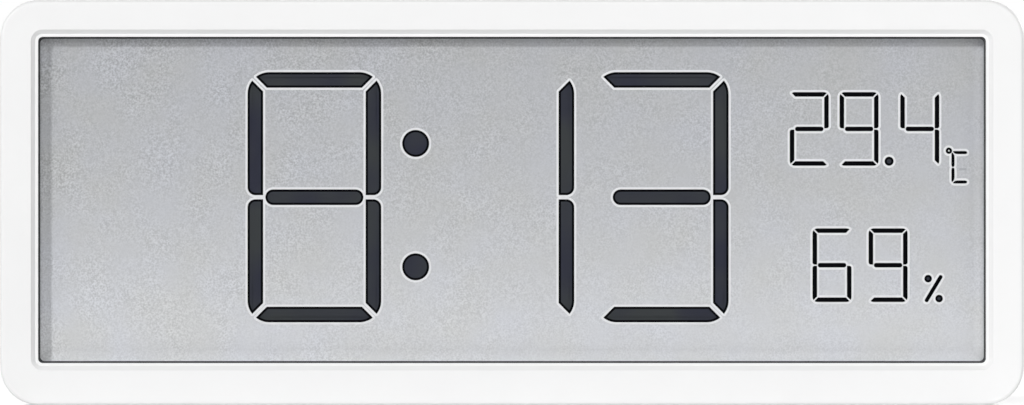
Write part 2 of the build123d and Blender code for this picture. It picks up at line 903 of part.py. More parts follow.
# Rear cover
with BuildPart() as rear_cover:
    slab(case_width, case_height, case_corner_radius, case_centre, parting_depth, case_depth)
    fillet(rear_cover.faces().sort_by(Axis.Y)[-1].edges(), rear_edge_radius)
    chamfer(rear_cover.faces().sort_by(Axis.Y)[0].edges(), seam_chamfer)
    slab(
        cavity_width, cavity_height, cavity_corner_radius, case_centre,
        parting_depth, inner_back, Mode.SUBTRACT,
    )
    rebate = tongue_thickness + tongue_clearance
    slab(
        cavity_width + 2 * rebate, cavity_height + 2 * rebate, cavity_corner_radius + rebate,
        case_centre, parting_depth, parting_depth + tongue_length + tongue_clearance, Mode.SUBTRACT,
    )

    # Solid parts that stand on the inside of the back wall
    bar(
        block_left, case_width / 2 - case_wall,
        battery_z - block_half_height, battery_z + block_half_height, well_floor_front, inner_back,
    )
    tub_half_width = pocket_half_width + tub_wall
    tub_top = trough_top + tub_wall
    trough_bottom = hinge_z - barrel_radius - barrel_gap
    scoop_places = [(-pocket_half_width, scoop_z), (pocket_half_width, scoop_z)]
    bar(-tub_half_width, tub_half_width, case_wall, tub_top, pocket_floor - tub_wall, inner_back)
    bar(
        -ear_half_width, ear_half_width, trough_bottom - tub_wall, tub_top,
        trough_floor - tub_wall, inner_back,
    )
    disc(scoop_radius + tub_wall, scoop_places, pocket_floor - tub_wall, inner_back)
    disc(post_radius, screw_places, carrier_back, inner_back)
    ring_radius = magnet_radius + magnet_clearance
    disc(ring_radius + magnet_ring_wall, magnet_places, inner_back - magnet_ring_height, inner_back)
    disc(ring_radius, magnet_places, inner_back - magnet_ring_height, inner_back, Mode.SUBTRACT)

    # Battery well, door slide and slots for the contacts' tails
    capsule(
        cell_spacing, well_radius, (battery_x, battery_z), board_back, case_depth, Mode.SUBTRACT
    )
    slide_left = door_left - door_end_gap
    slide_right = case_width / 2 + cut_overrun
    groove_half_height = door_groove_height / 2
    mouth_half_height = door_height / 2 + door_slide_gap
    bar(
        slide_left, slide_right, battery_z - groove_half_height, battery_z + groove_half_height,
        groove_floor, groove_back, Mode.SUBTRACT,
    )
    bar(
        slide_left, slide_right, battery_z - mouth_half_height, battery_z + mouth_half_height,
        groove_back, case_depth + cut_overrun, Mode.SUBTRACT,
    )
    slot_half_width = contact_half_width + contact_gap
    slot_back = contact_back + contact_gap
    for x, z in cell_places:
        bar(
            x - slot_half_width, x + slot_half_width, battery_z - block_half_height, z,
            board_back, slot_back, Mode.SUBTRACT,
        )
    bar(
        battery_x - slot_half_width, battery_x + slot_half_width, battery_z,
        battery_z + block_half_height, board_back, slot_back, Mode.SUBTRACT,
    )

    # Leg pocket, hinge trough and finger scoops
    pocket_corner = leg_corner_radius + leg_side_gap
    slab(
        2 * pocket_half_width, trough_top - pocket_bottom, pocket_corner,
        (0, (pocket_bottom + trough_top) / 2), pocket_floor, case_depth, Mode.SUBTRACT,
    )
    bar(
        -pocket_half_width, pocket_half_width, trough_bottom, trough_top,
        trough_floor, case_depth, Mode.SUBTRACT,
    )
    disc(scoop_radius, scoop_places, pocket_floor, case_depth, Mode.SUBTRACT)
    hinge_cylinder(pin_radius + pin_fit, ear_half_width, Mode.SUBTRACT)

    # Holes in the back wall
    disc(keyhole_radius, [keyhole_centre], inner_back, case_depth, Mode.SUBTRACT)
    with BuildSketch(depth_plane(inner_back)) as keyhole_slot:
        with Locations((0, keyhole_z + keyhole_rise / 2)):
            SlotCenterToCenter(keyhole_rise, 2 * keyhole_slot_radius, rotation=90)
    extrude(to_extrude=keyhole_slot.sketch, amount=-rear_wall, mode=Mode.SUBTRACT)
    with BuildSketch(depth_plane(inner_back)) as vents:
        with Locations((sensor_x, sensor_z)):
            with GridLocations(vent_spacing, 0, vent_count, 1):
                SlotOverall(vent_length, vent_width, rotation=90)
    extrude(to_extrude=vents.sketch, amount=-rear_wall, mode=Mode.SUBTRACT)
    capsule(
        (button_count - 1) * button_spacing, button_radius + dish_margin, (button_middle_x, button_z),
        case_depth - dish_depth, case_depth, Mode.SUBTRACT,
    )
    disc(button_radius + button_clearance, button_places, inner_back, case_depth, Mode.SUBTRACT)
    back_face = rear_cover.faces().sort_by(Axis.Y)[-1]
    chamfer(back_face.inner_wires().edges(), rim_chamfer)
    mark_z = button_z + button_radius + dish_margin + mark_gap + mark_size
    down_place, up_place, mode_place = [(x, mark_z) for x, z in button_places]
    with BuildSketch(depth_plane(case_depth)) as marks:
        with Locations(down_place):
            RegularPolygon(mark_size, side_count=3, rotation=-90)
        with Locations(up_place):
            RegularPolygon(mark_size, side_count=3, rotation=90)
        with Locations(mode_place):
            Circle(mark_size)
            Circle(mark_size - mark_line, mode=Mode.SUBTRACT)
    extrude(to_extrude=marks.sketch, amount=mark_depth, mode=Mode.SUBTRACT)
    disc(
        screw_head_radius + screw_head_clearance, screw_places, screw_floor, case_depth, Mode.SUBTRACT
    )
    disc(screw_hole_radius, screw_places, carrier_back, screw_floor, Mode.SUBTRACT)
save(rear_cover, "rear_cover")

# Battery door. Its right end takes the rounded edge of the case.
with BuildPart() as battery_door:
    slab(case_width, case_height, case_corner_radius, case_centre, parting_depth, case_depth)
    fillet(battery_door.faces().sort_by(Axis.Y)[-1].edges(), rear_edge_radius)
    flange_end = door_front + door_flange_thickness
    with BuildSketch(Plane.YZ.offset(door_left)) as section:
        with Locations(((door_front + case_depth) / 2 - case_depth / 2, battery_z)):
            Rectangle(door_thickness, door_height)
        with Locations(((door_front + flange_end) / 2 - case_depth / 2, battery_z)):
            Rectangle(door_flange_thickness, door_height + 2 * door_flange)
    extrude(to_extrude=section.sketch, amount=case_width / 2 - door_left, mode=Mode.INTERSECT)
    door_rim = battery_door.faces().sort_by(Axis.Y)[-1].edges().sort_by(Axis.X)[:-1]
    chamfer(door_rim, door_chamfer)
    grip_x = case_width / 2 - rear_edge_radius - grip_inset - (grip_count - 1) * grip_spacing / 2
    arrow_x = grip_x - (grip_count - 1) * grip_spacing / 2 - grip_inset
    with BuildSketch(depth_plane(case_depth)) as grips:
        with Locations((grip_x, battery_z)):
            with GridLocations(grip_spacing, 0, grip_count, 1):
                SlotOverall(grip_length, grip_width, rotation=90)
        with Locations((arrow_x, battery_z)):
            RegularPolygon(arrow_size, side_count=3)
    extrude(to_extrude=grips.sketch, amount=grip_depth, mode=Mode.SUBTRACT)
save(battery_door, "battery_door")

# Fold-out leg, its rubber foot and its pin
with BuildPart() as stand_leg:
    slab(
        leg_width, hinge_z - leg_bottom, leg_corner_radius, (0, (leg_bottom + hinge_z) / 2),
        leg_front, leg_back,
    )
    bar(-leg_width / 2, leg_width / 2, hinge_z - leg_corner_radius, hinge_z, leg_front, leg_back)
    leg_rim = stand_leg.faces().sort_by(Axis.Y)[-1].edges().sort_by(Axis.Z)[:-1]
    chamfer(leg_rim, leg_chamfer)
    hinge_cylinder(barrel_radius, leg_width / 2)
    bar(
        -heel_width / 2, heel_width / 2, hinge_z, hinge_z + heel_height,
        hinge_depth - heel_front, hinge_depth + heel_back,
    )
    hinge_cylinder(pin_radius + turning_fit, leg_width / 2, Mode.SUBTRACT)
    bar(
        -foot_width / 2, foot_width / 2, leg_bottom, leg_bottom + foot_height,
        leg_front, leg_back, Mode.SUBTRACT,
    )
    with BuildSketch(depth_plane(leg_back)) as leg_grooves:
        with Locations((0, leg_groove_z)):
            with GridLocations(0, leg_groove_spacing, 1, leg_groove_count):
                SlotOverall(leg_groove_length, leg_groove_width)
    extrude(to_extrude=leg_grooves.sketch, amount=leg_groove_depth, mode=Mode.SUBTRACT)
save(stand_leg, "stand_leg")

with BuildPart() as stand_foot:
    bar(-foot_width / 2, foot_width / 2, leg_bottom, leg_bottom + foot_height, leg_front, leg_back)
    fillet(stand_foot.faces().sort_by(Axis.Z)[0].edges().filter_by(Axis.X), foot_edge_radius)
save(stand_foot, "stand_foot")

with BuildPart() as stand_pin:
    hinge_cylinder(pin_radius, ear_half_width)
save(stand_pin, "stand_pin")

# Magnets for a steel wall
for name, place in zip(("magnet_left", "magnet_right"), magnet_places):
    with BuildPart() as magnet:
        disc(magnet_radius, [place], inner_back - magnet_thickness, inner_back)
        chamfer(magnet.edges(), magnet_chamfer)
    save(magnet, name)

# Case screws, driven from the back
with BuildPart() as case_screws:
    head_back = screw_floor + screw_head_height
    disc(screw_head_radius, screw_places, screw_floor, head_back)
    fillet(case_screws.edges().group_by(Axis.Y)[-1], screw_head_edge)
    disc(screw_radius, screw_places, carrier_front - screw_bite, screw_floor)
    with BuildSketch(depth_plane(head_back)) as crosses:
        with Locations(*screw_places):
            Rectangle(screw_cross_length, screw_cross_width)
            Rectangle(screw_cross_width, screw_cross_length)
    extrude(to_extrude=crosses.sketch, amount=screw_cross_depth, mode=Mode.SUBTRACT)
save(case_screws, "case_screws")
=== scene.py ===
"""Looks of a slim clock that also shows temperature and humidity.

Each operator dresses or builds one group of the clock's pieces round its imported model. Sizes are in metres,
the display faces -Y, +X is to the viewer's right and +Z is up.
"""

from math import cos, pi, radians, sin

import bmesh
import bpy
from bpy.props import FloatProperty, FloatVectorProperty, IntProperty, PointerProperty
from bpy.types import Operator, Panel, PropertyGroup
from mathutils import Matrix, Vector
from mathutils.geometry import convex_hull_2d, delaunay_2d_cdt


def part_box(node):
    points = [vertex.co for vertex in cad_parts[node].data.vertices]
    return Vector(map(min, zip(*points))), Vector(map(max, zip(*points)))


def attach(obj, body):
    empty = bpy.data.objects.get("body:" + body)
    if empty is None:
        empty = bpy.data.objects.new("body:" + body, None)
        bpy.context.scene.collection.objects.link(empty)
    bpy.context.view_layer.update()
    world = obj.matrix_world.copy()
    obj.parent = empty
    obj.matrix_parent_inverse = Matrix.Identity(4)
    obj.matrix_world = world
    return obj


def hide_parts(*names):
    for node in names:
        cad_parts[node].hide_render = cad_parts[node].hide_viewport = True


bl_info = {
    "name": "Slim Clock Looks",
    "version": (1, 0, 0),
    "blender": (4, 5, 0),
    "location": "3D View > Sidebar > Clock",
    "description": "Finishes, display figures, cells and studio for a slim clock with a wide display",
    "category": "Object",
}

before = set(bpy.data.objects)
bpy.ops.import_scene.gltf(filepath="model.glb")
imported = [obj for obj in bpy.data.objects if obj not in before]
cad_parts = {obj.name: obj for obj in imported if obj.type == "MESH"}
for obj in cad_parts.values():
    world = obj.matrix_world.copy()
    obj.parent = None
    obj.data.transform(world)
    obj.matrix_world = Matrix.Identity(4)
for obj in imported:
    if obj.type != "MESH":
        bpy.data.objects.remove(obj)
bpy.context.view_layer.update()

MM = 0.001  # a millimetre
CASE = "case"
BUTTONS = ("down", "up", "mode")
LIT_NODES = {
    "hour_digit": "hour",
    "minute_tens_digit": "minute_tens",
    "minute_ones_digit": "minute_ones",
    "colon_dots": "colon",
    "temperature_digits": "temperature",
    "temperature_unit": "celsius",
    "humidity_digits": "humidity",
    "humidity_unit": "percent",
}

JOIN_DISTANCE = 0.001 * MM  # points that are nearer each other are joined
FLAT_ANGLE = radians(0.5)  # triangles that meet at less are one face
SHARP_ANGLE = radians(30)  # edges that turn more are shaded sharp
ARC_ANGLE = radians(150)  # corners that are wider belong to an arc
FACING = 0.9  # how much of a face's unit normal points the way that the face looks
ARC_STEPS = 24
BLUNT_STEPS = 4
NARROWEST_CORE = 0.45 * MM

# Places on the display's two unit marks, in millimetres across and up
DEGREE_PLACE = (0.56, -0.6)  # from the temperature mark's top left
CELSIUS_DROP = 0.65  # from the mark's top to the C's
CELSIUS_SIZE = (2.37, 4.92)
PERCENT_DOT_PLACE = (-0.83, 1.51)  # from the sign's middle, as is the next
PERCENT_STROKE_END = (1.06, 1.77)

# The panes and the display's ground behind them
STRAIGHT_MIRROR = 0.003  # the share of light that a pane's coating takes out of its mirror
GREY_CURVE = 1.8  # how late the bottom's grey gives way to the top's
PAINTED_EDGE_LIGHT = 1.36  # painted light by the frame, which lightens the shade that the frame casts there
PAINTED_LIGHT_BAND = (0.8 * MM, 2.8 * MM)  # from the frame, where that painted light fades
SPECKLE = 0.17  # strength of the speckles, before these shares of it
CLOUD_SHARES = (0.25, 1.15)
ACROSS_SHARES = (1.25, 0.65)  # from left to right
UP_SHARES = (0.65, 1.2)

# Copper tracks of the circuit board
TRACK_RUN = 14 * MM  # from one jog to the next
TRACK_JOG = 2.4 * MM
TRACK_PITCH = 1.2 * MM
TRACK_HALF = 0.09 * MM
TRACK_EDGE = 0.04 * MM
LEVEL_PATCH = 0.53  # the cloudy pattern is over this where tracks run along the board
UPRIGHT_PATCH = 0.45  # and under this where they run across it
PATCH_EDGE = 0.002


def screen_colour(red, green, blue):
    """A colour given as a screen shows it, 0 to 255, in Blender's linear values."""
    return tuple(
        value / 255 / 12.92 if value <= 10 else ((value / 255 + 0.055) / 1.055) ** 2.4
        for value in (red, green, blue)
    )


def colour_property(name, description, *default):
    return FloatVectorProperty(
        name=name, description=description, default=screen_colour(*default),
        subtype="COLOR", min=0, max=1,
    )


def length_property(name, description, default, least=0):
    """A length whose default and least value are given in millimetres."""
    return FloatProperty(
        name=name, description=description, default=default * MM, min=least * MM,
        subtype="DISTANCE", unit="LENGTH", precision=5,
    )


class ClockColours(PropertyGroup):
    """Colours that a user may change."""

    case: colour_property("Case", "White of the two shells, the door and the leg", 241, 241, 241)
    gasket: colour_property("Gasket", "Dark line round the display opening", 56, 57, 59)
    display_top: colour_property("Display top", "Silvery grey at the display's top", 182, 184, 189)
    display_bottom: colour_property("Display bottom", "Silvery grey at its bottom", 214, 216, 221)
    display_drift: colour_property("Display drift", "Tint that comes and goes in it", 253, 252, 247)
    bar_rim: colour_property("Bar rim", "Edge of a darkened bar", 4, 5, 9)
    bar_core: colour_property("Bar core", "Middle of a wide darkened bar", 60, 63, 65)
    bar_core_drift: colour_property("Bar core drift", "Bluer grey that comes and goes in it", 50, 52, 64)
    bar_outline: colour_property("Bar outline", "Pale line round each lit bar", 228, 229, 231)
    board: colour_property("Board", "Solder mask", 22, 84, 50)
    button: colour_property("Buttons", "Grey of the setting buttons", 206, 207, 209)
    mark: colour_property("Marks", "Paint in the marks over the buttons and on the door", 128, 129, 132)
    rubber: colour_property("Foot", "Grey of the leg's rubber foot", 112, 113, 116)
    steel: colour_property("Steel", "Cells, screws and hinge pin", 218, 218, 216)
    nickel: colour_property("Nickel", "Contacts and magnets", 208, 205, 198)


class ClockSizes(PropertyGroup):
    """Sizes that a user may change."""

    bar_corner: length_property("Bar corner", "Blunts the tips of the display's narrow bars", 0.4)
    mark_bar: length_property("Mark bar", "Width of the bars in the temperature's unit mark", 0.46)
    mark_gap: length_property("Mark gap", "Sets those bars apart", 0.1)
    degree_radius: length_property("Degree radius", "Outside of the degree ring", 0.48)
    degree_hole: length_property("Degree hole", "Radius of the hole in it", 0.13)
    percent_dot: length_property("Per cent dot", "Radius of the dots in the per cent sign", 0.57)
    percent_stroke: length_property("Per cent stroke", "Width of its stroke", 0.58)
    rim_width: length_property("Rim width", "Dark edge inside a wide bar", 0.34)
    outline_width: length_property("Outline width", "Pale line round the lit bars", 0.34)
    outline_depth: length_property("Outline depth", "Thickness of that line", 0.02)
    display_grain: length_property("Display grain", "Size of the speckles in the display", 0.26)
    case_grain: length_property("Case grain", "Size of the pits in the moulded back", 0.3)
    button_dish: length_property("Button dish", "How far a button's middle is sunk", 0.22)
    paint_depth: length_property("Paint depth", "Thickness of the paint in the engraved marks", 0.05)
    foot_groove: length_property("Foot groove", "Depth of the grooves in the rubber foot", 0.22)
    foot_ribs: IntProperty(name="Foot ribs", description="Ribs along the rubber foot", default=22, min=2)
    camera_distance: length_property("Camera distance", "From the camera to the clock's face", 2600, 200)


def colour(name):
    return tuple(getattr(bpy.context.scene.clock_colours, name))


def size(name):
    return getattr(bpy.context.scene.clock_sizes, name)


def span(name):
    """A size in millimetres."""
    return size(name) / MM


def shaded(base, factor):
    """A colour made lighter or darker by a factor."""
    return tuple(min(1, value * factor) for value in base)


class Finish:
    """A node material with patterns in Object coordinates. Grains and depths are in millimetres."""

    def __init__(self, name, roughness=0.5, metallic=0.0, mirror=0.5):
        self.material = bpy.data.materials.new(name)
        self.material.use_nodes = True
        self.tree = self.material.node_tree
        self.shader = self.tree.nodes["Principled BSDF"]
        self.set(self.shader, **{"Roughness": roughness, "Metallic": metallic, "Specular IOR Level": mirror})
        self.place = self.add("ShaderNodeTexCoord").outputs["Object"]
        self.normal = None

    def add(self, kind, **settings):
        node = self.tree.nodes.new(kind)
        for name, value in settings.items():
            setattr(node, name, value)
        return node

    def set(self, node, **values):
        """Sets sockets by name, or by number as in s6. A value is a number, a colour or another output."""
        for name, value in values.items():
            numbered = name[0] == "s" and name[1:].isdigit()
            socket = node.inputs[int(name[1:]) if numbered else name]
            if isinstance(value, bpy.types.NodeSocket):
                self.tree.links.new(value, socket)
            else:
                socket.default_value = value
        return node

    def noise(self, grain, detail=2.0, stretch=(1, 1, 1)):
        """A cloudy pattern from 0 to 1 with blobs of about the grain's size."""
        mapping = self.set(self.add("ShaderNodeMapping"), Vector=self.place, Scale=stretch)
        node = self.add("ShaderNodeTexNoise")
        self.set(node, Vector=mapping.outputs["Vector"], Scale=1 / (grain * MM), Detail=detail)
        return node.outputs["Fac"]

    def between(self, value, low, high, start=0.3, end=0.7):
        """Maps a pattern to a span of numbers."""
        node = self.add("ShaderNodeMapRange")
        self.set(node, **{"Value": value, "From Min": start, "From Max": end, "To Min": low, "To Max": high})
        return node.outputs["Result"]

    def mix(self, factor, first, second, blend="MIX"):
        """Mixes two colours by a pattern."""
        node = self.add("ShaderNodeMix", data_type="RGBA", blend_type=blend)
        first, second = (
            value if isinstance(value, bpy.types.NodeSocket) else (*value, 1) for value in (first, second)
        )
        self.set(node, s0=factor, s6=first, s7=second)
        return node.outputs[2]

    def math(self, operation, first, second=0.0):
        return self.set(self.add("ShaderNodeMath", operation=operation), s0=first, s1=second).outputs[0]

    def axis(self, name):
        """One of the Object coordinates."""
        return self.set(self.add("ShaderNodeSeparateXYZ"), Vector=self.place).outputs[name]

    def offset(self, name, middle):
        """The distance from a plane across one of the axes."""
        return self.math("ABSOLUTE", self.math("SUBTRACT", self.axis(name), middle))

    def colour(self, value):
        self.set(self.shader, **{"Base Color": value})

    def tones(self, base, grain, spread, stretch=(1, 1, 1)):
        """Lets the base colour drift a little lighter and darker."""
        pattern = self.between(self.noise(grain, stretch=stretch), 0, 1)
        self.colour(self.mix(pattern, shaded(base, 1 - spread), shaded(base, 1 + spread)))

    def gloss(self, low, high, grain, stretch=(1, 1, 1)):
        """Lets the roughness drift between two values."""
        self.set(self.shader, Roughness=self.between(self.noise(grain, 3.0, stretch), low, high))

    def relief(self, pattern, depth):
        """Raises a pattern."""
        node = self.set(self.add("ShaderNodeBump"), Height=pattern, Distance=depth * MM)
        if self.normal is not None:
            self.set(node, Normal=self.normal)
        self.normal = node.outputs["Normal"]
        self.set(self.shader, Normal=self.normal)

    def pits(self, grain, depth, detail=2.0):
        """Makes the surface uneven all over."""
        self.relief(self.noise(grain, detail), depth)


def matt_film(name):
    """A finish for what lies in the display, where nothing mirrors."""
    return Finish(name, roughness=0.6, mirror=0.05)


def dress(finish, *nodes):
    """Gives CAD nodes their finish."""
    for node in nodes:
        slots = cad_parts[node].data.materials
        slots.clear()
        slots.append(finish.material)


def link(item):
    bpy.context.scene.collection.objects.link(item)


def placed(shape, name, *finishes):
    """An object at the origin, made of a finished bmesh."""
    mesh = bpy.data.meshes.new(name)
    shape.to_mesh(mesh)
    shape.free()
    for finish in finishes:
        mesh.materials.append(finish.material)
    piece = bpy.data.objects.new(name, mesh)
    link(piece)
    return piece


def seat(shape, name, finishes, body, replaced=()):
    """Makes a piece of a finished bmesh and sets it on its body."""
    bmesh.ops.recalc_face_normals(shape, faces=shape.faces)
    piece = placed(shape, name, *finishes)
    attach(piece, body)
    if replaced:
        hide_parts(*replaced)
    return piece


def smooth(piece):
    """Shades the piece smooth except at its sharp edges."""
    piece.data.shade_smooth()
    piece.data.set_sharp_from_angle(angle=SHARP_ANGLE)


def merged_copy(node):
    """A bmesh of a CAD node's mesh, its loose triangles joined into whole faces."""
    shape = bmesh.new()
    shape.from_mesh(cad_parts[node].data)
    bmesh.ops.remove_doubles(shape, verts=shape.verts, dist=JOIN_DISTANCE)
    bmesh.ops.dissolve_limit(shape, angle_limit=FLAT_ANGLE, verts=shape.verts, edges=shape.edges)
    return shape


def extrude(shape, faces, way):
    """Extrudes faces along a vector and returns the faces and the points that moved."""
    made = bmesh.ops.extrude_face_region(shape, geom=faces)["geom"]
    points = [part for part in made if isinstance(part, bmesh.types.BMVert)]
    bmesh.ops.translate(shape, verts=points, vec=way)
    return [part for part in made if isinstance(part, bmesh.types.BMFace)], points


def round_off(shape, points, radius, segments):
    """Rounds corners of flat loops."""
    bmesh.ops.bevel(
        shape, geom=points, offset=radius, segments=segments, affect="VERTICES", profile=0.5, material=-1,
    )


def turned(profile, centre, steps, rounded=(), radius=0.0, segments=3):
    """A solid of revolution about a line along Y. The profile's points are (radius, y), and those that
    rounded numbers are rounded first."""
    shape = bmesh.new()
    points = [shape.verts.new((centre.x + reach, y, centre.z)) for reach, y in profile]
    for pair in zip(points, points[1:]):
        shape.edges.new(pair)
    if rounded:
        round_off(shape, [points[i] for i in rounded], radius, segments)
    bmesh.ops.spin(
        shape, geom=shape.verts[:] + shape.edges[:], cent=centre, axis=(0, 1, 0), angle=2 * pi,
        steps=steps, use_merge=True,
    )
    bmesh.ops.remove_doubles(shape, verts=shape.verts, dist=JOIN_DISTANCE / 2)
    return shape


def front_faces(shape):
    return [face for face in shape.faces if face.normal.y < -FACING]


def is_wide(face):
    """Whether a bar's mean half width leaves room for a paler core."""
    return 2 * face.calc_area() / sum(edge.calc_length() for edge in face.edges) > NARROWEST_CORE


def flat_box(node):
    """A display figure's box, in millimetres across and up."""
    return [Vector((corner.x, corner.z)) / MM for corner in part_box(node)]


def circle():
    return [Vector((cos(2 * pi * i / ARC_STEPS), sin(2 * pi * i / ARC_STEPS))) for i in range(ARC_STEPS)]


def grown(corners, reach):
    """The hull of discs of one radius round some points."""
    rim = [corner + reach * way for corner in corners for way in circle()]
    return [rim[i] for i in convex_hull_2d(rim)]


def blunted(corners, kept=()):
    """Rounds a loop's corners, but neither those of its arcs nor those to keep."""
    reach = span("bar_corner")
    loop = []
    for i, corner in enumerate(corners):
        before = corners[i - 1] - corner
        after = corners[(i + 1) % len(corners)] - corner
        if i in kept or before.angle(after) > ARC_ANGLE:
            loop.append(corner)
            continue
        first = corner + before.normalized() * min(reach, before.length / 2)
        last = corner + after.normalized() * min(reach, after.length / 2)
        for step in range(BLUNT_STEPS + 1):
            share = step / BLUNT_STEPS
            loop.append(first.lerp(corner, share).lerp(corner.lerp(last, share), share))
    return loop


def film_loops(node):
    """Convex loops round the bars of a figure's solid. Narrow bars get blunted tips."""
    shape = merged_copy(node)
    bmesh.ops.connect_verts_concave(shape, faces=front_faces(shape))
    bars = front_faces(shape)
    loops = []
    for face in bars:
        corners = [Vector((vertex.co.x, vertex.co.z)) / MM for vertex in face.verts]
        shared = [
            i for i, vertex in enumerate(face.verts) if sum(other in bars for other in vertex.link_faces) > 1
        ]
        loops.append(corners if is_wide(face) else blunted(corners, shared))
    shape.free()
    return loops


def celsius_loops():
    """A degree ring, and a C of four bars that stands clear of it."""
    low, high = flat_box("temperature_unit")
    centre = Vector((low.x, high.y)) + Vector(DEGREE_PLACE)
    outer, inner = span("degree_radius"), span("degree_hole")
    ways = circle()
    loops = [
        [centre + inner * first, centre + outer * first, centre + outer * last, centre + inner * last]
        for first, last in zip(ways, ways[1:] + ways[:1])
    ]
    bar, gap = span("mark_bar"), span("mark_gap")
    width, height = CELSIUS_SIZE
    left, right, top = high.x - width, high.x, high.y - CELSIUS_DROP
    inside, under, middle = left + bar, top - bar, top - height / 2
    level = [(left + gap, top), (right, top), (right, under), (inside + gap, under)]
    end = middle + gap / 2
    upright = [(left, top - gap), (inside, under - gap), (inside, end), (left, end)]
    for corners in (level, upright):
        for side in (1, -1):
            loops.append(blunted([Vector((x, middle + side * (z - middle))) for x, z in corners]))
    return loops


def percent_loops():
    """Two dots and a stroke with round ends."""
    low, high = flat_box("humidity_unit")
    middle = (low + high) / 2
    dot, end = Vector(PERCENT_DOT_PLACE), Vector(PERCENT_STROKE_END)
    loops = [grown([middle + side * dot], span("percent_dot")) for side in (1, -1)]
    loops.append(grown([middle - end, middle + end], span("percent_stroke") / 2))
    return loops


def lit_loops(node):
    """Convex loops round a display figure's bars, in millimetres across and up."""
    if node == "temperature_unit":
        return celsius_loops()
    if node == "humidity_unit":
        return percent_loops()
    return film_loops(node)


def covers(loop, point):
    """Whether a loop runs round a point."""
    inside = False
    for first, last in zip(loop, loop[1:] + loop[:1]):
        if (first.y > point.y) != (last.y > point.y):
            crossing = first.x + (point.y - first.y) * (last.x - first.x) / (last.y - first.y)
            inside ^= point.x < crossing
    return inside


def flat_plate(loops, front, back):
    """A plate of loops that are given in millimetres across and up."""
    shape = bmesh.new()
    for loop in loops:
        corners = [(corner.x * MM, front, corner.y * MM) for corner in loop]
        shape.faces.new([shape.verts.new(corner) for corner in corners])
    bmesh.ops.remove_doubles(shape, verts=shape.verts, dist=JOIN_DISTANCE)
    extrude(shape, shape.faces[:], (0, back - front, 0))
    bmesh.ops.recalc_face_normals(shape, faces=shape.faces)
    return shape


class ClockOperator(Operator):
    """What the clock's operators share."""

    bl_options = {"REGISTER", "UNDO"}


def moulded_white(name, grain_depth):
    """Satin white moulding."""
    finish = Finish(name)
    finish.tones(colour("case"), grain=9, spread=0.006)
    finish.gloss(0.38, 0.5, grain=1.5)
    finish.pits(span("case_grain"), grain_depth, detail=3.0)
    return finish


class CLOCK_OT_case(ClockOperator):
    """Dress the two shells, the battery door and the leg"""

    bl_idname = "clock.case"
    bl_label = "Case"

    front_depth = 0.002  # of the grain, in millimetres
    back_depth = 0.05  # deeper, since the back's mould is spark-eroded

    def execute(self, context):
        dress(moulded_white("smooth white moulding", self.front_depth), "front_frame")
        for node in ("rear_cover", "battery_door", "stand_leg"):
            dress(moulded_white(f"grained white moulding of the {node}", self.back_depth), node)
        return {"FINISHED"}


def clear_pane(name, index):
    """A clear, coated pane: it lets sight through straight on and mirrors at a slant."""
    finish = Finish(name)
    finish.tree.nodes.remove(finish.shader)
    smears = finish.between(finish.noise(12, 3.0), 0.02, 0.06)
    mirror = finish.set(finish.add("ShaderNodeBsdfAnisotropic"), Roughness=smears)
    through = finish.add("ShaderNodeBsdfTransparent")
    fresnel = finish.set(finish.add("ShaderNodeFresnel"), IOR=index).outputs[0]
    share = finish.math("MAXIMUM", finish.math("SUBTRACT", fresnel, STRAIGHT_MIRROR), 0.0)
    mixer = finish.add("ShaderNodeMixShader")
    finish.set(mixer, s0=share, s1=through.outputs[0], s2=mirror.outputs[0])
    finish.set(finish.tree.nodes["Material Output"], Surface=mixer.outputs[0])
    return finish


class CLOCK_OT_window(ClockOperator):
    """Dress the gasket, the clear window and the panes behind it"""

    bl_idname = "clock.window"
    bl_label = "Window"

    panes = (  # node, finish and refractive index of its coating
        ("display_window", "hard-coated acrylic", 1.1),
        ("front_polarizer", "clear film", 1.02),
        ("front_glass", "clear thin glass", 1.04),
    )

    def execute(self, context):
        gasket = Finish("black foam tape", roughness=0.85)
        gasket.tones(colour("gasket"), grain=1.2, spread=0.25)
        gasket.pits(grain=0.15, depth=0.02, detail=3.0)
        dress(gasket, "window_gasket")
        for node, name, index in self.panes:
            dress(clear_pane(name, index), node)
            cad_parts[node].visible_shadow = False
            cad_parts[node].visible_diffuse = False
        seal = Finish("cured edge seal", roughness=0.6)
        seal.tones(screen_colour(160, 162, 165), grain=2, spread=0.08)
        dress(seal, "glass_seal")
        return {"FINISHED"}


def silvery_crystal():
    """The display's ground: silvery grey, darker at the top, with fine speckles in loose drifts, and painted
    light by the frame that lightens the frame's shade.
    """
    finish = matt_film("silvery display ground")
    low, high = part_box("window_gasket")
    drop = finish.between(finish.axis("Z"), 1, 0, start=low.z, end=high.z)
    drop = finish.math("POWER", drop, GREY_CURVE)
    ground = finish.mix(drop, colour("display_top"), colour("display_bottom"))
    tint = finish.between(finish.noise(9), 0, 1)
    ground = finish.mix(tint, ground, colour("display_drift"), "MULTIPLY")
    drift = finish.between(finish.noise(5), *CLOUD_SHARES)
    insets = []
    for axis, first, last, shares in (
        ("X", low.x, high.x, ACROSS_SHARES),
        ("Z", low.z, high.z, UP_SHARES),
    ):
        drift = finish.math("MULTIPLY", drift, finish.between(finish.axis(axis), *shares, first, last))
        offset = finish.offset(axis, (first + last) / 2)
        insets.append(finish.math("SUBTRACT", (last - first) / 2, offset))
    # painted light: the ground is made lighter near the frame, to lighten the shade that the frame casts
    # there
    painted_edge_light = finish.between(finish.math("MINIMUM", *insets), PAINTED_EDGE_LIGHT, 1, *PAINTED_LIGHT_BAND)
    speckle = finish.between(finish.noise(span("display_grain"), 1.0), -SPECKLE, SPECKLE)
    level = finish.math("ADD", finish.math("MULTIPLY", speckle, drift), 1.0)
    level = finish.math("MULTIPLY", level, painted_edge_light)
    scaled = finish.set(finish.add("ShaderNodeVectorMath", operation="SCALE"), s0=ground, Scale=level)
    finish.colour(scaled.outputs[0])
    return finish


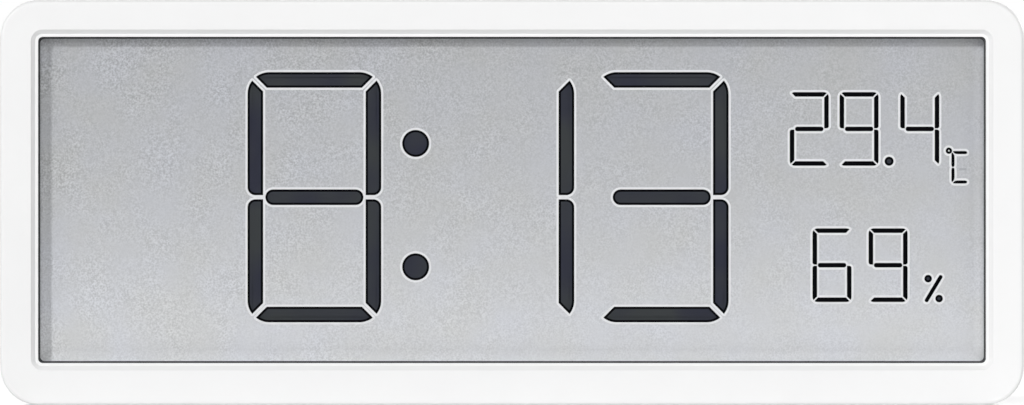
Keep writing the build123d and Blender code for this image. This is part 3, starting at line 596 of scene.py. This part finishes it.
class CLOCK_OT_cell(ClockOperator):
    """Dress the display cell's rear glass and its silvery reflector"""

    bl_idname = "clock.cell"
    bl_label = "Display cell"

    def execute(self, context):
        dress(silvery_crystal(), "rear_glass")
        film = Finish("brushed silver film", metallic=0.6)
        film.tones(screen_colour(200, 201, 203), grain=1.5, spread=0.05, stretch=(0.1, 1, 1))
        film.gloss(0.35, 0.5, grain=0.4, stretch=(0.05, 1, 1))
        dress(film, "reflector")
        return {"FINISHED"}


class CLOCK_OT_figures(ClockOperator):
    """Build the lit figures: bars with a dark rim, and a paler core where they are wide"""

    bl_idname = "clock.figures"
    bl_label = "Lit figures"

    def execute(self, context):
        rim = matt_film("darkened crystal rim")
        rim.tones(colour("bar_rim"), grain=0.8, spread=0.2)
        core = matt_film("darkened crystal core")
        drift = core.between(core.noise(9, 1.0), 0, 1, start=0.35, end=0.65)
        core.colour(core.mix(drift, colour("bar_core"), colour("bar_core_drift")))
        for node, figure in LIT_NODES.items():
            low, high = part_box(node)
            shape = flat_plate(lit_loops(node), low.y, high.y)
            wide = [face for face in front_faces(shape) if is_wide(face)]
            if wide:
                bmesh.ops.inset_region(
                    shape, faces=wide, thickness=size("rim_width"), use_even_offset=True, use_boundary=False,
                )
            for face in wide:
                face.material_index = 1
            seat(shape, f"{figure}_bars", [rim, core], CASE, [node])
        return {"FINISHED"}


class CLOCK_OT_outlines(ClockOperator):
    """Build the pale line that runs round every lit bar and dot"""

    bl_idname = "clock.outlines"
    bl_label = "Pale outlines"

    point_gap = 0.001  # points that are nearer, in millimetres, are one
    unlit_reach = 1.2 * MM
    unlit_inset = 0.1 * MM
    unlit_rise = 2.05 * MM
    unlit_half = 0.17 * MM
    unlit_shade = 0.86  # of the grey at the display's top

    def execute(self, context):
        pale = matt_film("pale crystal edge")
        pale.tones(colour("bar_outline"), grain=1.2, spread=0.03)
        for node, figure in LIT_NODES.items():
            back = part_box(node)[1].y
            shape = flat_plate(self.ring_triangles(node), back - size("outline_depth"), back)
            seat(shape, f"{figure}_outline", [pale], CASE)
        self.unlit_bar()
        return {"FINISHED"}

    def unlit_bar(self):
        """The middle bar of the temperature's unit mark, which shows faintly though it isn't lit."""
        low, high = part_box("temperature_unit")
        left, right = high.x - self.unlit_reach, high.x - self.unlit_inset
        middle = low.z + self.unlit_rise
        corners = [
            Vector((x, middle + side * self.unlit_half)) / MM
            for x, side in ((left, -1), (right, -1), (right, 1), (left, 1))
        ]
        faint = matt_film("unlit crystal")
        faint.tones(shaded(colour("display_top"), self.unlit_shade), grain=0.6, spread=0.03)
        shape = flat_plate([corners], high.y - size("outline_depth"), high.y)
        seat(shape, "celsius_unlit_bar", [faint], CASE)

    def ring_triangles(self, node):
        """Triangles, in millimetres, that lie in the outlines round the bars but in no bar."""
        lit = lit_loops(node)
        wider = [grown(loop, span("outline_width")) for loop in lit]
        points, loops = [], []
        for loop in lit + wider:
            loops.append(list(range(len(points), len(points) + len(loop))))
            points.extend(loop)
        found, _, triangles, _, _, _ = delaunay_2d_cdt(points, [], loops, 0, self.point_gap)
        rings = []
        for triangle in triangles:
            corners = [found[i] for i in triangle]
            middle = sum(corners, Vector((0, 0))) / 3
            if any(covers(loop, middle) for loop in wider) and not any(covers(loop, middle) for loop in lit):
                rings.append(corners)
        if not rings:
            raise RuntimeError(f"the outline of {node} came out empty")
        return rings


class CLOCK_OT_cells(ClockOperator):
    """Turn the two coin cells: can, sealing ring and cap"""

    bl_idname = "clock.cells"
    bl_label = "Coin cells"

    steps = 96
    cap_rise = 0.5 * MM
    cap_share = 0.87  # of the can's radius
    can_rounding = 0.3 * MM
    cap_rounding = 0.2 * MM
    ring_width = 0.28 * MM
    ring_share = 0.4  # of the cap's rise
    rim_step = 0.12 * MM
    rim_inset = 0.9 * MM
    plus_reach = 2.4 * MM
    plus_half = 0.35 * MM
    plus_rise = 0.05 * MM

    def execute(self, context):
        can = Finish("rolled steel can", metallic=1.0)
        can.tones(colour("steel"), grain=1.0, spread=0.05, stretch=(0.06, 1, 1))
        can.gloss(0.2, 0.36, grain=0.25, stretch=(0.04, 1, 1))
        ring = Finish("sealing ring")
        ring.tones(screen_colour(70, 72, 78), grain=1.0, spread=0.1)
        etched = Finish("etched steel", metallic=1.0)
        etched.tones(shaded(colour("steel"), 0.35), grain=0.3, spread=0.08)
        for side in ("left", "right"):
            node = f"coin_cell_{side}"
            low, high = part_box(node)
            middle = (low + high) / 2
            radius = (high.x - low.x) / 2
            shoulder = low.y + self.cap_rise
            cap_radius = self.cap_share * radius
            well = cap_radius + self.ring_width
            rim, floor = radius - self.rim_inset, high.y - self.rim_step
            ring_top = shoulder - self.ring_share * self.cap_rise
            can_profile = (
                (0, shoulder), (well, shoulder), (radius, shoulder), (radius, high.y),
                (rim, high.y), (rim - self.rim_step, floor), (0, floor),
            )
            cap_profile = ((0, shoulder), (cap_radius, shoulder), (cap_radius, low.y), (0, low.y))
            edges = ((cap_radius, shoulder), (well, shoulder), (well, ring_top), (cap_radius, ring_top))
            for part, finish, slot, profile, rounded, rounding in (
                ("can", can, "cell_steel", can_profile, (2, 3), self.can_rounding),
                ("cap", can, "cell_steel", cap_profile, (2,), self.cap_rounding),
                ("ring", ring, "gasket_black", (*edges, edges[0]), (), 0.0),
            ):
                shape = turned(profile, middle, self.steps, rounded, rounding)
                smooth(seat(shape, f"{node}_{part}", [finish], CASE, [node]))
            self.plus_sign(node, middle, floor, etched)
        return {"FINISHED"}

    def plus_sign(self, node, middle, floor, finish):
        """A pressed plus sign that shows which way the cell goes in."""
        shape = bmesh.new()
        bmesh.ops.create_grid(shape, x_segments=3, y_segments=3, size=self.plus_reach)
        half = self.plus_half
        for vertex in shape.verts:
            for axis in (0, 1):
                if abs(vertex.co[axis]) < self.plus_reach / 2:
                    vertex.co[axis] = half if vertex.co[axis] > 0 else -half
        corners = [face for face in shape.faces if min(abs(x) for x in face.calc_center_median()[:2]) > half]
        bmesh.ops.delete(shape, geom=corners, context="FACES")
        extrude(shape, shape.faces[:], (0, 0, self.plus_rise))
        place = Matrix.Translation((middle.x, floor, middle.z)) @ Matrix.Rotation(-pi / 2, 4, "X")
        bmesh.ops.transform(shape, matrix=place, verts=shape.verts)
        seat(shape, f"{node}_plus", [finish], CASE)


class CLOCK_OT_buttons(ClockOperator):
    """Turn the three setting buttons with a dished cap, and dress their switches"""

    bl_idname = "clock.buttons"
    bl_label = "Buttons"

    steps = 64
    cap_radius = 2.6 * MM
    stem_radius = 1.6 * MM
    flange = 0.8 * MM
    stem = 0.55 * MM
    edge_radius = 0.4 * MM
    dish_share = 0.78  # of the cap's radius, where the dish begins
    slope_share = 0.5  # of that radius, where the dish turns flatter
    slope_depth = 0.7  # of the dish's depth, there

    def execute(self, context):
        cap = Finish("grey satin button")
        cap.tones(colour("button"), grain=1.5, spread=0.03)
        cap.pits(grain=0.12, depth=0.004)
        black = Finish("black switch body")
        black.tones(screen_colour(46, 46, 48), grain=0.8, spread=0.15)
        black.pits(grain=0.1, depth=0.005)
        grey = Finish("grey plunger", roughness=0.45)
        grey.tones(screen_colour(176, 177, 180), grain=0.6, spread=0.05)
        dish = size("button_dish")
        for name in BUTTONS:
            node = f"{name}_button"
            low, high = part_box(node)
            flange_radius = (high.x - low.x) / 2
            flange_front = low.y + self.stem
            flange_back = flange_front + self.flange
            profile = [
                (0, low.y), (self.stem_radius, low.y), (self.stem_radius, flange_front),
                (flange_radius, flange_front), (flange_radius, flange_back), (self.cap_radius, flange_back),
                (self.cap_radius, high.y), (self.dish_share * self.cap_radius, high.y),
                (self.slope_share * self.cap_radius, high.y - self.slope_depth * dish), (0, high.y - dish),
            ]
            shape = turned(profile, (low + high) / 2, self.steps, (6,), self.edge_radius, segments=5)
            smooth(seat(shape, f"{name}_cap", [cap], node, [node]))
            dress(black, f"{name}_switch")
            dress(grey, f"{name}_plunger")
        return {"FINISHED"}


class CLOCK_OT_marks(ClockOperator):
    """Paint the engraved marks over the buttons and on the battery door"""

    bl_idname = "clock.marks"
    bl_label = "Marks"

    mark_depth = 0.2 * MM
    arrow_depth = 0.35 * MM
    depth_gap = 0.01 * MM  # how far a floor may be from its depth
    band = (1.0 * MM, 5.0 * MM)  # heights of the marks above the buttons

    def execute(self, context):
        paint = Finish("grey mark paint", roughness=0.6)
        paint.tones(colour("mark"), grain=0.6, spread=0.06)
        paint.pits(grain=0.15, depth=0.004)
        button_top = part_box("up_button")[1].z
        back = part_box("rear_cover")[1].y
        cover = merged_copy("rear_cover")
        over_buttons = [
            face for face in self.floors(cover, back - self.mark_depth)
            if self.band[0] < face.calc_center_median().z - button_top < self.band[1]
        ]
        self.fill(cover, over_buttons, "button_marks", paint, CASE)
        door = merged_copy("battery_door")
        arrow = [face for face in self.floors(door, back - self.arrow_depth) if len(face.verts) == 3]
        self.fill(door, arrow, "door_arrow", paint, "battery_door")
        return {"FINISHED"}

    def floors(self, shape, level):
        """Faces that look backwards at one depth."""
        return [
            face for face in shape.faces
            if face.normal.y > FACING and abs(face.calc_center_median().y - level) < self.depth_gap
        ]

    def fill(self, shape, floors, name, finish, body):
        """Lays paint on the floors of engraved marks."""
        if not floors:
            raise RuntimeError(f"no engraved floor was found for {name}")
        others = [face for face in shape.faces if face not in floors]
        bmesh.ops.delete(shape, geom=others, context="FACES")
        extrude(shape, shape.faces[:], (0, size("paint_depth"), 0))
        seat(shape, name, [finish], body)


class CLOCK_OT_pocket(ClockOperator):
    """Build the closed pocket behind the keyhole"""

    bl_idname = "clock.pocket"
    bl_label = "Keyhole pocket"

    half_width = 5.2 * MM
    drop = 14.7 * MM  # from the case's top to the pocket's two ends
    top_drop = 2.9 * MM
    mouth_inset = 1.4 * MM  # from the case's back
    depth = 2.9 * MM
    wall = 0.7 * MM
    corner_radius = 2.0 * MM
    grain_depth = 0.01  # millimetres

    def execute(self, context):
        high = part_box("rear_cover")[1]
        mouth = high.y - self.mouth_inset
        shape = bmesh.new()
        corners = [
            shape.verts.new((across * self.half_width, mouth, high.z - drop))
            for across, drop in ((-1, self.drop), (1, self.drop), (1, self.top_drop), (-1, self.top_drop))
        ]
        shape.faces.new(corners)
        round_off(shape, corners, self.corner_radius, segments=6)
        rim = shape.faces[:]
        extrude(shape, rim, (0, -self.depth, 0))
        bmesh.ops.inset_region(shape, faces=rim, thickness=self.wall, use_even_offset=True)
        extrude(shape, rim, (0, self.wall - self.depth, 0))
        bmesh.ops.delete(shape, geom=rim, context="FACES_ONLY")
        white = moulded_white("white moulding of the pocket", self.grain_depth)
        smooth(seat(shape, "keyhole_pocket", [white], CASE))
        return {"FINISHED"}


class CLOCK_OT_foot(ClockOperator):
    """Build the leg's ribbed rubber foot"""

    bl_idname = "clock.foot"
    bl_label = "Rubber foot"

    edge_radius = 0.4 * MM
    groove_share = 0.3  # of the pitch

    def execute(self, context):
        rubber = Finish("grey rubber", roughness=0.8)
        rubber.tones(colour("rubber"), grain=1.2, spread=0.08)
        rubber.pits(grain=0.12, depth=0.012, detail=3.0)
        low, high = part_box("stand_foot")
        shape = bmesh.new()
        corners = [
            shape.verts.new((low.x, y, z))
            for y, z in ((low.y, low.z), (high.y, low.z), (high.y, high.z), (low.y, high.z))
        ]
        shape.faces.new(corners)
        round_off(shape, corners[:2], self.edge_radius, segments=4)
        end = shape.faces[:]
        ribs, groove, middle = size("foot_ribs"), size("foot_groove"), (low + high) / 2
        pitch = (high.x - low.x) / (ribs - self.groove_share)
        width = self.groove_share * pitch
        for i in range(ribs):
            end = self.grow(shape, end, pitch - width)
            if i < ribs - 1:
                end = self.grow(shape, end, 0, groove, middle)
                end = self.grow(shape, end, width)
                end = self.grow(shape, end, 0, -groove, middle)
        smooth(seat(shape, "ribbed_foot", [rubber], "stand_leg", ["stand_foot"]))
        return {"FINISHED"}

    def grow(self, shape, end, length, sink=0.0, middle=None):
        """Extrudes the end face along +X, or steps it in or out at its bottom and back."""
        face, points = extrude(shape, end, (length, 0, 0))
        bmesh.ops.delete(shape, geom=end, context="FACES_ONLY")
        if sink:
            for point in points:
                if point.co.z < middle.z:
                    point.co.z += sink
                if point.co.y > middle.y:
                    point.co.y -= sink
        return face


class CLOCK_OT_metal(ClockOperator):
    """Dress the hinge pin, the magnets, the contacts and the case screws"""

    bl_idname = "clock.metal"
    bl_label = "Metal parts"

    def execute(self, context):
        contacts = ("positive_contact", "negative_contact_left", "negative_contact_right")
        for nodes, name, tone, smoothest, roughest in (
            (("stand_pin",), "ground steel pin", "steel", 0.22, 0.34),
            (("case_screws",), "zinc-plated screw", "steel", 0.25, 0.42),
            (("magnet_left", "magnet_right"), "nickel-plated magnet", "nickel", 0.12, 0.22),
            (contacts, "nickel-plated spring strip", "nickel", 0.2, 0.34),
        ):
            finish = Finish(name, metallic=1.0)
            finish.tones(colour(tone), grain=0.8, spread=0.02)
            finish.gloss(smoothest, roughest, grain=0.3, stretch=(0.2, 1, 1))
            finish.pits(grain=0.08, depth=0.001)
            dress(finish, *nodes)
        return {"FINISHED"}


def copper_lines(finish, across, along):
    """Parallel tracks with a slanted jog every so often, as a pattern from 0 to 1."""
    travel = finish.math("PINGPONG", finish.axis(along), TRACK_RUN)
    jog = finish.between(
        travel, 0, TRACK_JOG, start=(TRACK_RUN - TRACK_JOG) / 2, end=(TRACK_RUN + TRACK_JOG) / 2,
    )
    offset = finish.math("PINGPONG", finish.math("ADD", finish.axis(across), jog), TRACK_PITCH / 2)
    return finish.between(offset, 1, 0, start=TRACK_HALF, end=TRACK_HALF + TRACK_EDGE)


def solder_mask():
    """Green board. Its copper tracks show under the mask, along it in some places and across in others."""
    finish = Finish("solder mask over laminate", roughness=0.35)
    patches = finish.noise(11, 0.0)
    level = finish.between(patches, 0, 1, start=LEVEL_PATCH, end=LEVEL_PATCH + PATCH_EDGE)
    level = finish.math("MULTIPLY", copper_lines(finish, "Z", "X"), level)
    upright = finish.between(patches, 1, 0, start=UPRIGHT_PATCH, end=UPRIGHT_PATCH + PATCH_EDGE)
    upright = finish.math("MULTIPLY", copper_lines(finish, "X", "Z"), upright)
    copper = finish.math("MAXIMUM", level, upright)
    base = colour("board")
    finish.colour(finish.mix(copper, base, shaded(base, 1.9)))
    finish.relief(copper, depth=0.03)
    finish.pits(grain=0.4, depth=0.004, detail=1.0)
    return finish


class CLOCK_OT_board(ClockOperator):
    """Dress the circuit board and the parts on it, and add their solder joints"""

    bl_idname = "clock.board"
    bl_label = "Circuit board"

    lead_length = 0.99 * MM  # the last 0.01 keeps the tin off the chip's sides
    capacitor_half = 0.8 * MM  # of a capacitor's length
    capacitor_pitch = 4.0 * MM
    capacitor_tin = 0.3 * MM
    layer_scale = 1.26 * MM  # the connector has about three layers in it
    layer_half = 0.35 * MM
    tail_joint = 1.1 * MM  # radii of the solder joints
    crystal_joint = 0.32 * MM
    tail_inset = 1.2 * MM  # from the end of a contact's tail to its joint
    crystal_inset = 0.1 * MM
    crystal_shares = (0.25, 0.75)  # of the crystal's height, where its leads are
    joint_rise = 0.55  # of a joint's radius

    def execute(self, context):
        dress(solder_mask(), "circuit_board")
        for node, name, tone, spread, roughness, metallic in (
            ("controller_chip", "chip epoxy", (44, 44, 46), 0.06, 0.6, 0.0),
            ("quartz_crystal", "drawn crystal can", (205, 204, 200), 0.03, 0.28, 1.0),
            ("board_capacitors", "fired ceramic", (178, 150, 116), 0.07, 0.5, 0.0),
            ("humidity_sensor", "sensor epoxy", (58, 58, 60), 0.06, 0.55, 0.0),
            ("sensor_collar", "open foam", (50, 50, 52), 0.2, 0.9, 0.0),
            ("display_carrier", "carrier moulding", (232, 232, 229), 0.01, 0.5, 0.0),
        ):
            finish = Finish(name, metallic=metallic)
            finish.tones(screen_colour(*tone), grain=0.9, spread=spread)
            finish.gloss(roughness - 0.05, roughness + 0.1, grain=0.4)
            finish.pits(grain=0.12, depth=0.001 if metallic else 0.006, detail=3.0)
            if node in ("controller_chip", "board_capacitors"):
                self.tin(finish, node)
            dress(finish, node)
        self.connector()
        self.solder_joints()
        return {"FINISHED"}

    def tin(self, finish, node):
        """Tins the chip's leads, outside its square body, or both ends of each capacitor in the rows."""
        low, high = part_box(node)
        middle = (low + high) / 2
        if node == "controller_chip":
            reach = finish.math("MAXIMUM", finish.offset("X", middle.x), finish.offset("Z", middle.z))
            bare = (high.x - low.x) / 2 - self.lead_length
        else:
            travel = finish.math("SUBTRACT", finish.axis("X"), low.x + self.capacitor_half)
            reach = finish.math("PINGPONG", travel, self.capacitor_pitch / 2)
            bare = self.capacitor_half - self.capacitor_tin
        ends = finish.math("GREATER_THAN", reach, bare)
        base = finish.shader.inputs["Base Color"].links[0].from_socket
        finish.colour(finish.mix(ends, base, screen_colour(200, 200, 199)))
        finish.set(finish.shader, Metallic=ends)

    def connector(self):
        """Pink silicone with a core of thin black conducting layers."""
        finish = Finish("layered connector rubber", roughness=0.6)
        layers = finish.add("ShaderNodeTexWave", bands_direction="X")
        finish.set(layers, Vector=finish.place, Scale=1 / self.layer_scale, Distortion=0.0)
        low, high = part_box("elastomer_connector")
        core = finish.math("LESS_THAN", finish.offset("Z", (low.z + high.z) / 2), self.layer_half)
        dark = finish.math("MULTIPLY", finish.between(layers.outputs["Fac"], 0, 1, 0.4, 0.6), core)
        finish.colour(finish.mix(dark, screen_colour(226, 172, 176), screen_colour(36, 34, 36)))
        dress(finish, "elastomer_connector")

    def solder_joints(self):
        """A low dome over each contact's tail and each crystal lead."""
        shape = bmesh.new()
        board_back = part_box("circuit_board")[1].y
        places = []
        for node in ("negative_contact_left", "negative_contact_right"):
            low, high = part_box(node)
            places.append(((low.x + high.x) / 2, low.z + self.tail_inset, self.tail_joint))
        low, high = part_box("positive_contact")
        places.append(((low.x + high.x) / 2, high.z - self.tail_inset, self.tail_joint))
        low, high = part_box("quartz_crystal")
        for share in self.crystal_shares:
            height = low.z + share * (high.z - low.z)
            places.append((high.x - self.crystal_inset, height, self.crystal_joint))
        for x, z, radius in places:
            dome = bmesh.ops.create_uvsphere(shape, u_segments=24, v_segments=12, radius=radius)["verts"]
            bmesh.ops.scale(shape, verts=dome, vec=(1, self.joint_rise, 1))
            bmesh.ops.translate(shape, verts=dome, vec=(x, board_back, z))
        cut = bmesh.ops.bisect_plane(
            shape, geom=shape.verts[:] + shape.edges[:] + shape.faces[:], plane_co=(0, board_back, 0),
            plane_no=(0, -1, 0), clear_outer=True,
        )
        rims = [part for part in cut["geom_cut"] if isinstance(part, bmesh.types.BMEdge)]
        bmesh.ops.holes_fill(shape, edges=rims)
        tin = Finish("solder", metallic=1.0)
        tin.tones(screen_colour(196, 197, 198), grain=0.4, spread=0.06)
        tin.gloss(0.18, 0.32, grain=0.3)
        smooth(seat(shape, "solder_joints", [tin], CASE))


def sun(name, towards, strength, angle):
    """A far lamp. The direction is from the clock to the lamp."""
    data = bpy.data.lights.new(name, "SUN")
    data.energy = strength
    data.angle = radians(angle)
    lamp = bpy.data.objects.new(name, data)
    lamp.rotation_mode = "QUATERNION"
    lamp.rotation_quaternion = Vector(towards).to_track_quat("Z", "Y")
    link(lamp)


def rays_of_sight(tree):
    """1 for rays that show something, straight, in a mirror or through a pane, and 0 for the others."""
    paths = tree.nodes.new("ShaderNodeLightPath")
    total = paths.outputs["Is Camera Ray"]
    for name in ("Is Glossy Ray", "Is Transmission Ray"):
        adder = tree.nodes.new("ShaderNodeMath")
        adder.operation = "ADD"
        adder.use_clamp = True
        tree.links.new(total, adder.inputs[0])
        tree.links.new(paths.outputs[name], adder.inputs[1])
        total = adder.outputs[0]
    return total


class CLOCK_OT_stage(ClockOperator):
    """Set the pale floor, the white surroundings, the lamps and the camera"""

    bl_idname = "clock.stage"
    bl_label = "Stage"

    lamps = (  # name, direction, strength and apparent size in degrees
        ("key lamp", (-0.73, -1.0, 0.56), 1.2, 6),
        ("front fill lamp", (0.1, -1.0, 0.35), 0.9, 40),
        ("rear lamp", (0.75, 0.7, 0.35), 1.5, 8),
        ("rear fill lamp", (-0.15, 1.0, 0.3), 0.5, 40),
    )
    floor_reach = 12.0
    floor_glow = 0.3
    surround_strength = 0.25
    sensor_width = 36.0
    clip_start = 0.01
    clip_end = 20.0

    def execute(self, context):
        self.floor()
        self.surroundings()
        for lamp in self.lamps:
            sun(*lamp)
        self.camera()
        context.scene.view_settings.view_transform = "Standard"
        return {"FINISHED"}

    def floor(self):
        """A wide floor that glows to the eye, so that it looks as white as its surroundings."""
        finish = Finish("plain pale floor", roughness=0.9)
        finish.tones(screen_colour(250, 250, 250), grain=300, spread=0.004)
        glow = finish.math("MULTIPLY", rays_of_sight(finish.tree), self.floor_glow)
        finish.set(finish.shader, **{"Emission Color": (1, 1, 1, 1), "Emission Strength": glow})
        shape = bmesh.new()
        bmesh.ops.create_grid(shape, x_segments=8, y_segments=8, size=self.floor_reach)
        floor = placed(shape, "floor", finish)

    def surroundings(self):
        """Lights the clock evenly, and looks white to the camera and in mirrors."""
        world = bpy.data.worlds.new("white studio")
        world.use_nodes = True
        bpy.context.scene.world = world
        nodes, links = world.node_tree.nodes, world.node_tree.links
        level = nodes.new("ShaderNodeMapRange")
        level.inputs["To Min"].default_value = self.surround_strength
        level.inputs["To Max"].default_value = 1.0
        links.new(rays_of_sight(world.node_tree), level.inputs["Value"])
        background = nodes["Background"]
        background.inputs["Color"].default_value = (1, 1, 1, 1)
        links.new(level.outputs["Result"], background.inputs["Strength"])

    def camera(self):
        """A long lens straight at the face, so that the case fills the picture."""
        low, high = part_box("front_frame")
        distance = size("camera_distance")
        data = bpy.data.cameras.new("camera")
        data.sensor_width = self.sensor_width
        data.lens = self.sensor_width * distance / (high.x - low.x)
        data.clip_end = self.clip_end
        data.clip_start = self.clip_start
        camera = bpy.data.objects.new("camera", data)
        camera.location = ((low.x + high.x) / 2, low.y - distance, (low.z + high.z) / 2)
        camera.rotation_euler = (pi / 2, 0, 0)
        link(camera)
        bpy.context.scene.camera = camera


OPERATORS = (
    CLOCK_OT_case, CLOCK_OT_window, CLOCK_OT_cell, CLOCK_OT_figures, CLOCK_OT_outlines, CLOCK_OT_cells,
    CLOCK_OT_buttons, CLOCK_OT_marks, CLOCK_OT_pocket, CLOCK_OT_foot, CLOCK_OT_metal, CLOCK_OT_board,
    CLOCK_OT_stage,
)


class CLOCK_PT_panel(Panel):
    """Lists the clock's operators in the order in which they run"""

    bl_idname = "CLOCK_PT_panel"
    bl_label = "Slim Clock"
    bl_space_type = "VIEW_3D"
    bl_region_type = "UI"
    bl_category = "Clock"

    def draw(self, context):
        for operator in OPERATORS:
            self.layout.operator(operator.bl_idname)
        for group in (context.scene.clock_colours, context.scene.clock_sizes):
            box = self.layout.box()
            for name in group.__annotations__:
                box.prop(group, name)


CLASSES = (ClockColours, ClockSizes, *OPERATORS, CLOCK_PT_panel)


def register():
    for item in CLASSES:
        bpy.utils.register_class(item)
    bpy.types.Scene.clock_colours = PointerProperty(type=ClockColours)
    bpy.types.Scene.clock_sizes = PointerProperty(type=ClockSizes)


def unregister():
    del bpy.types.Scene.clock_sizes
    del bpy.types.Scene.clock_colours
    for item in reversed(CLASSES):
        bpy.utils.unregister_class(item)


def main():
    register()
    bpy.ops.clock.case()
    bpy.ops.clock.window()
    bpy.ops.clock.cell()
    bpy.ops.clock.figures()
    bpy.ops.clock.outlines()
    bpy.ops.clock.cells()
    bpy.ops.clock.buttons()
    bpy.ops.clock.marks()
    bpy.ops.clock.pocket()
    bpy.ops.clock.foot()
    bpy.ops.clock.metal()
    bpy.ops.clock.board()
    bpy.ops.clock.stage()


if __name__ == "__main__":
    main()
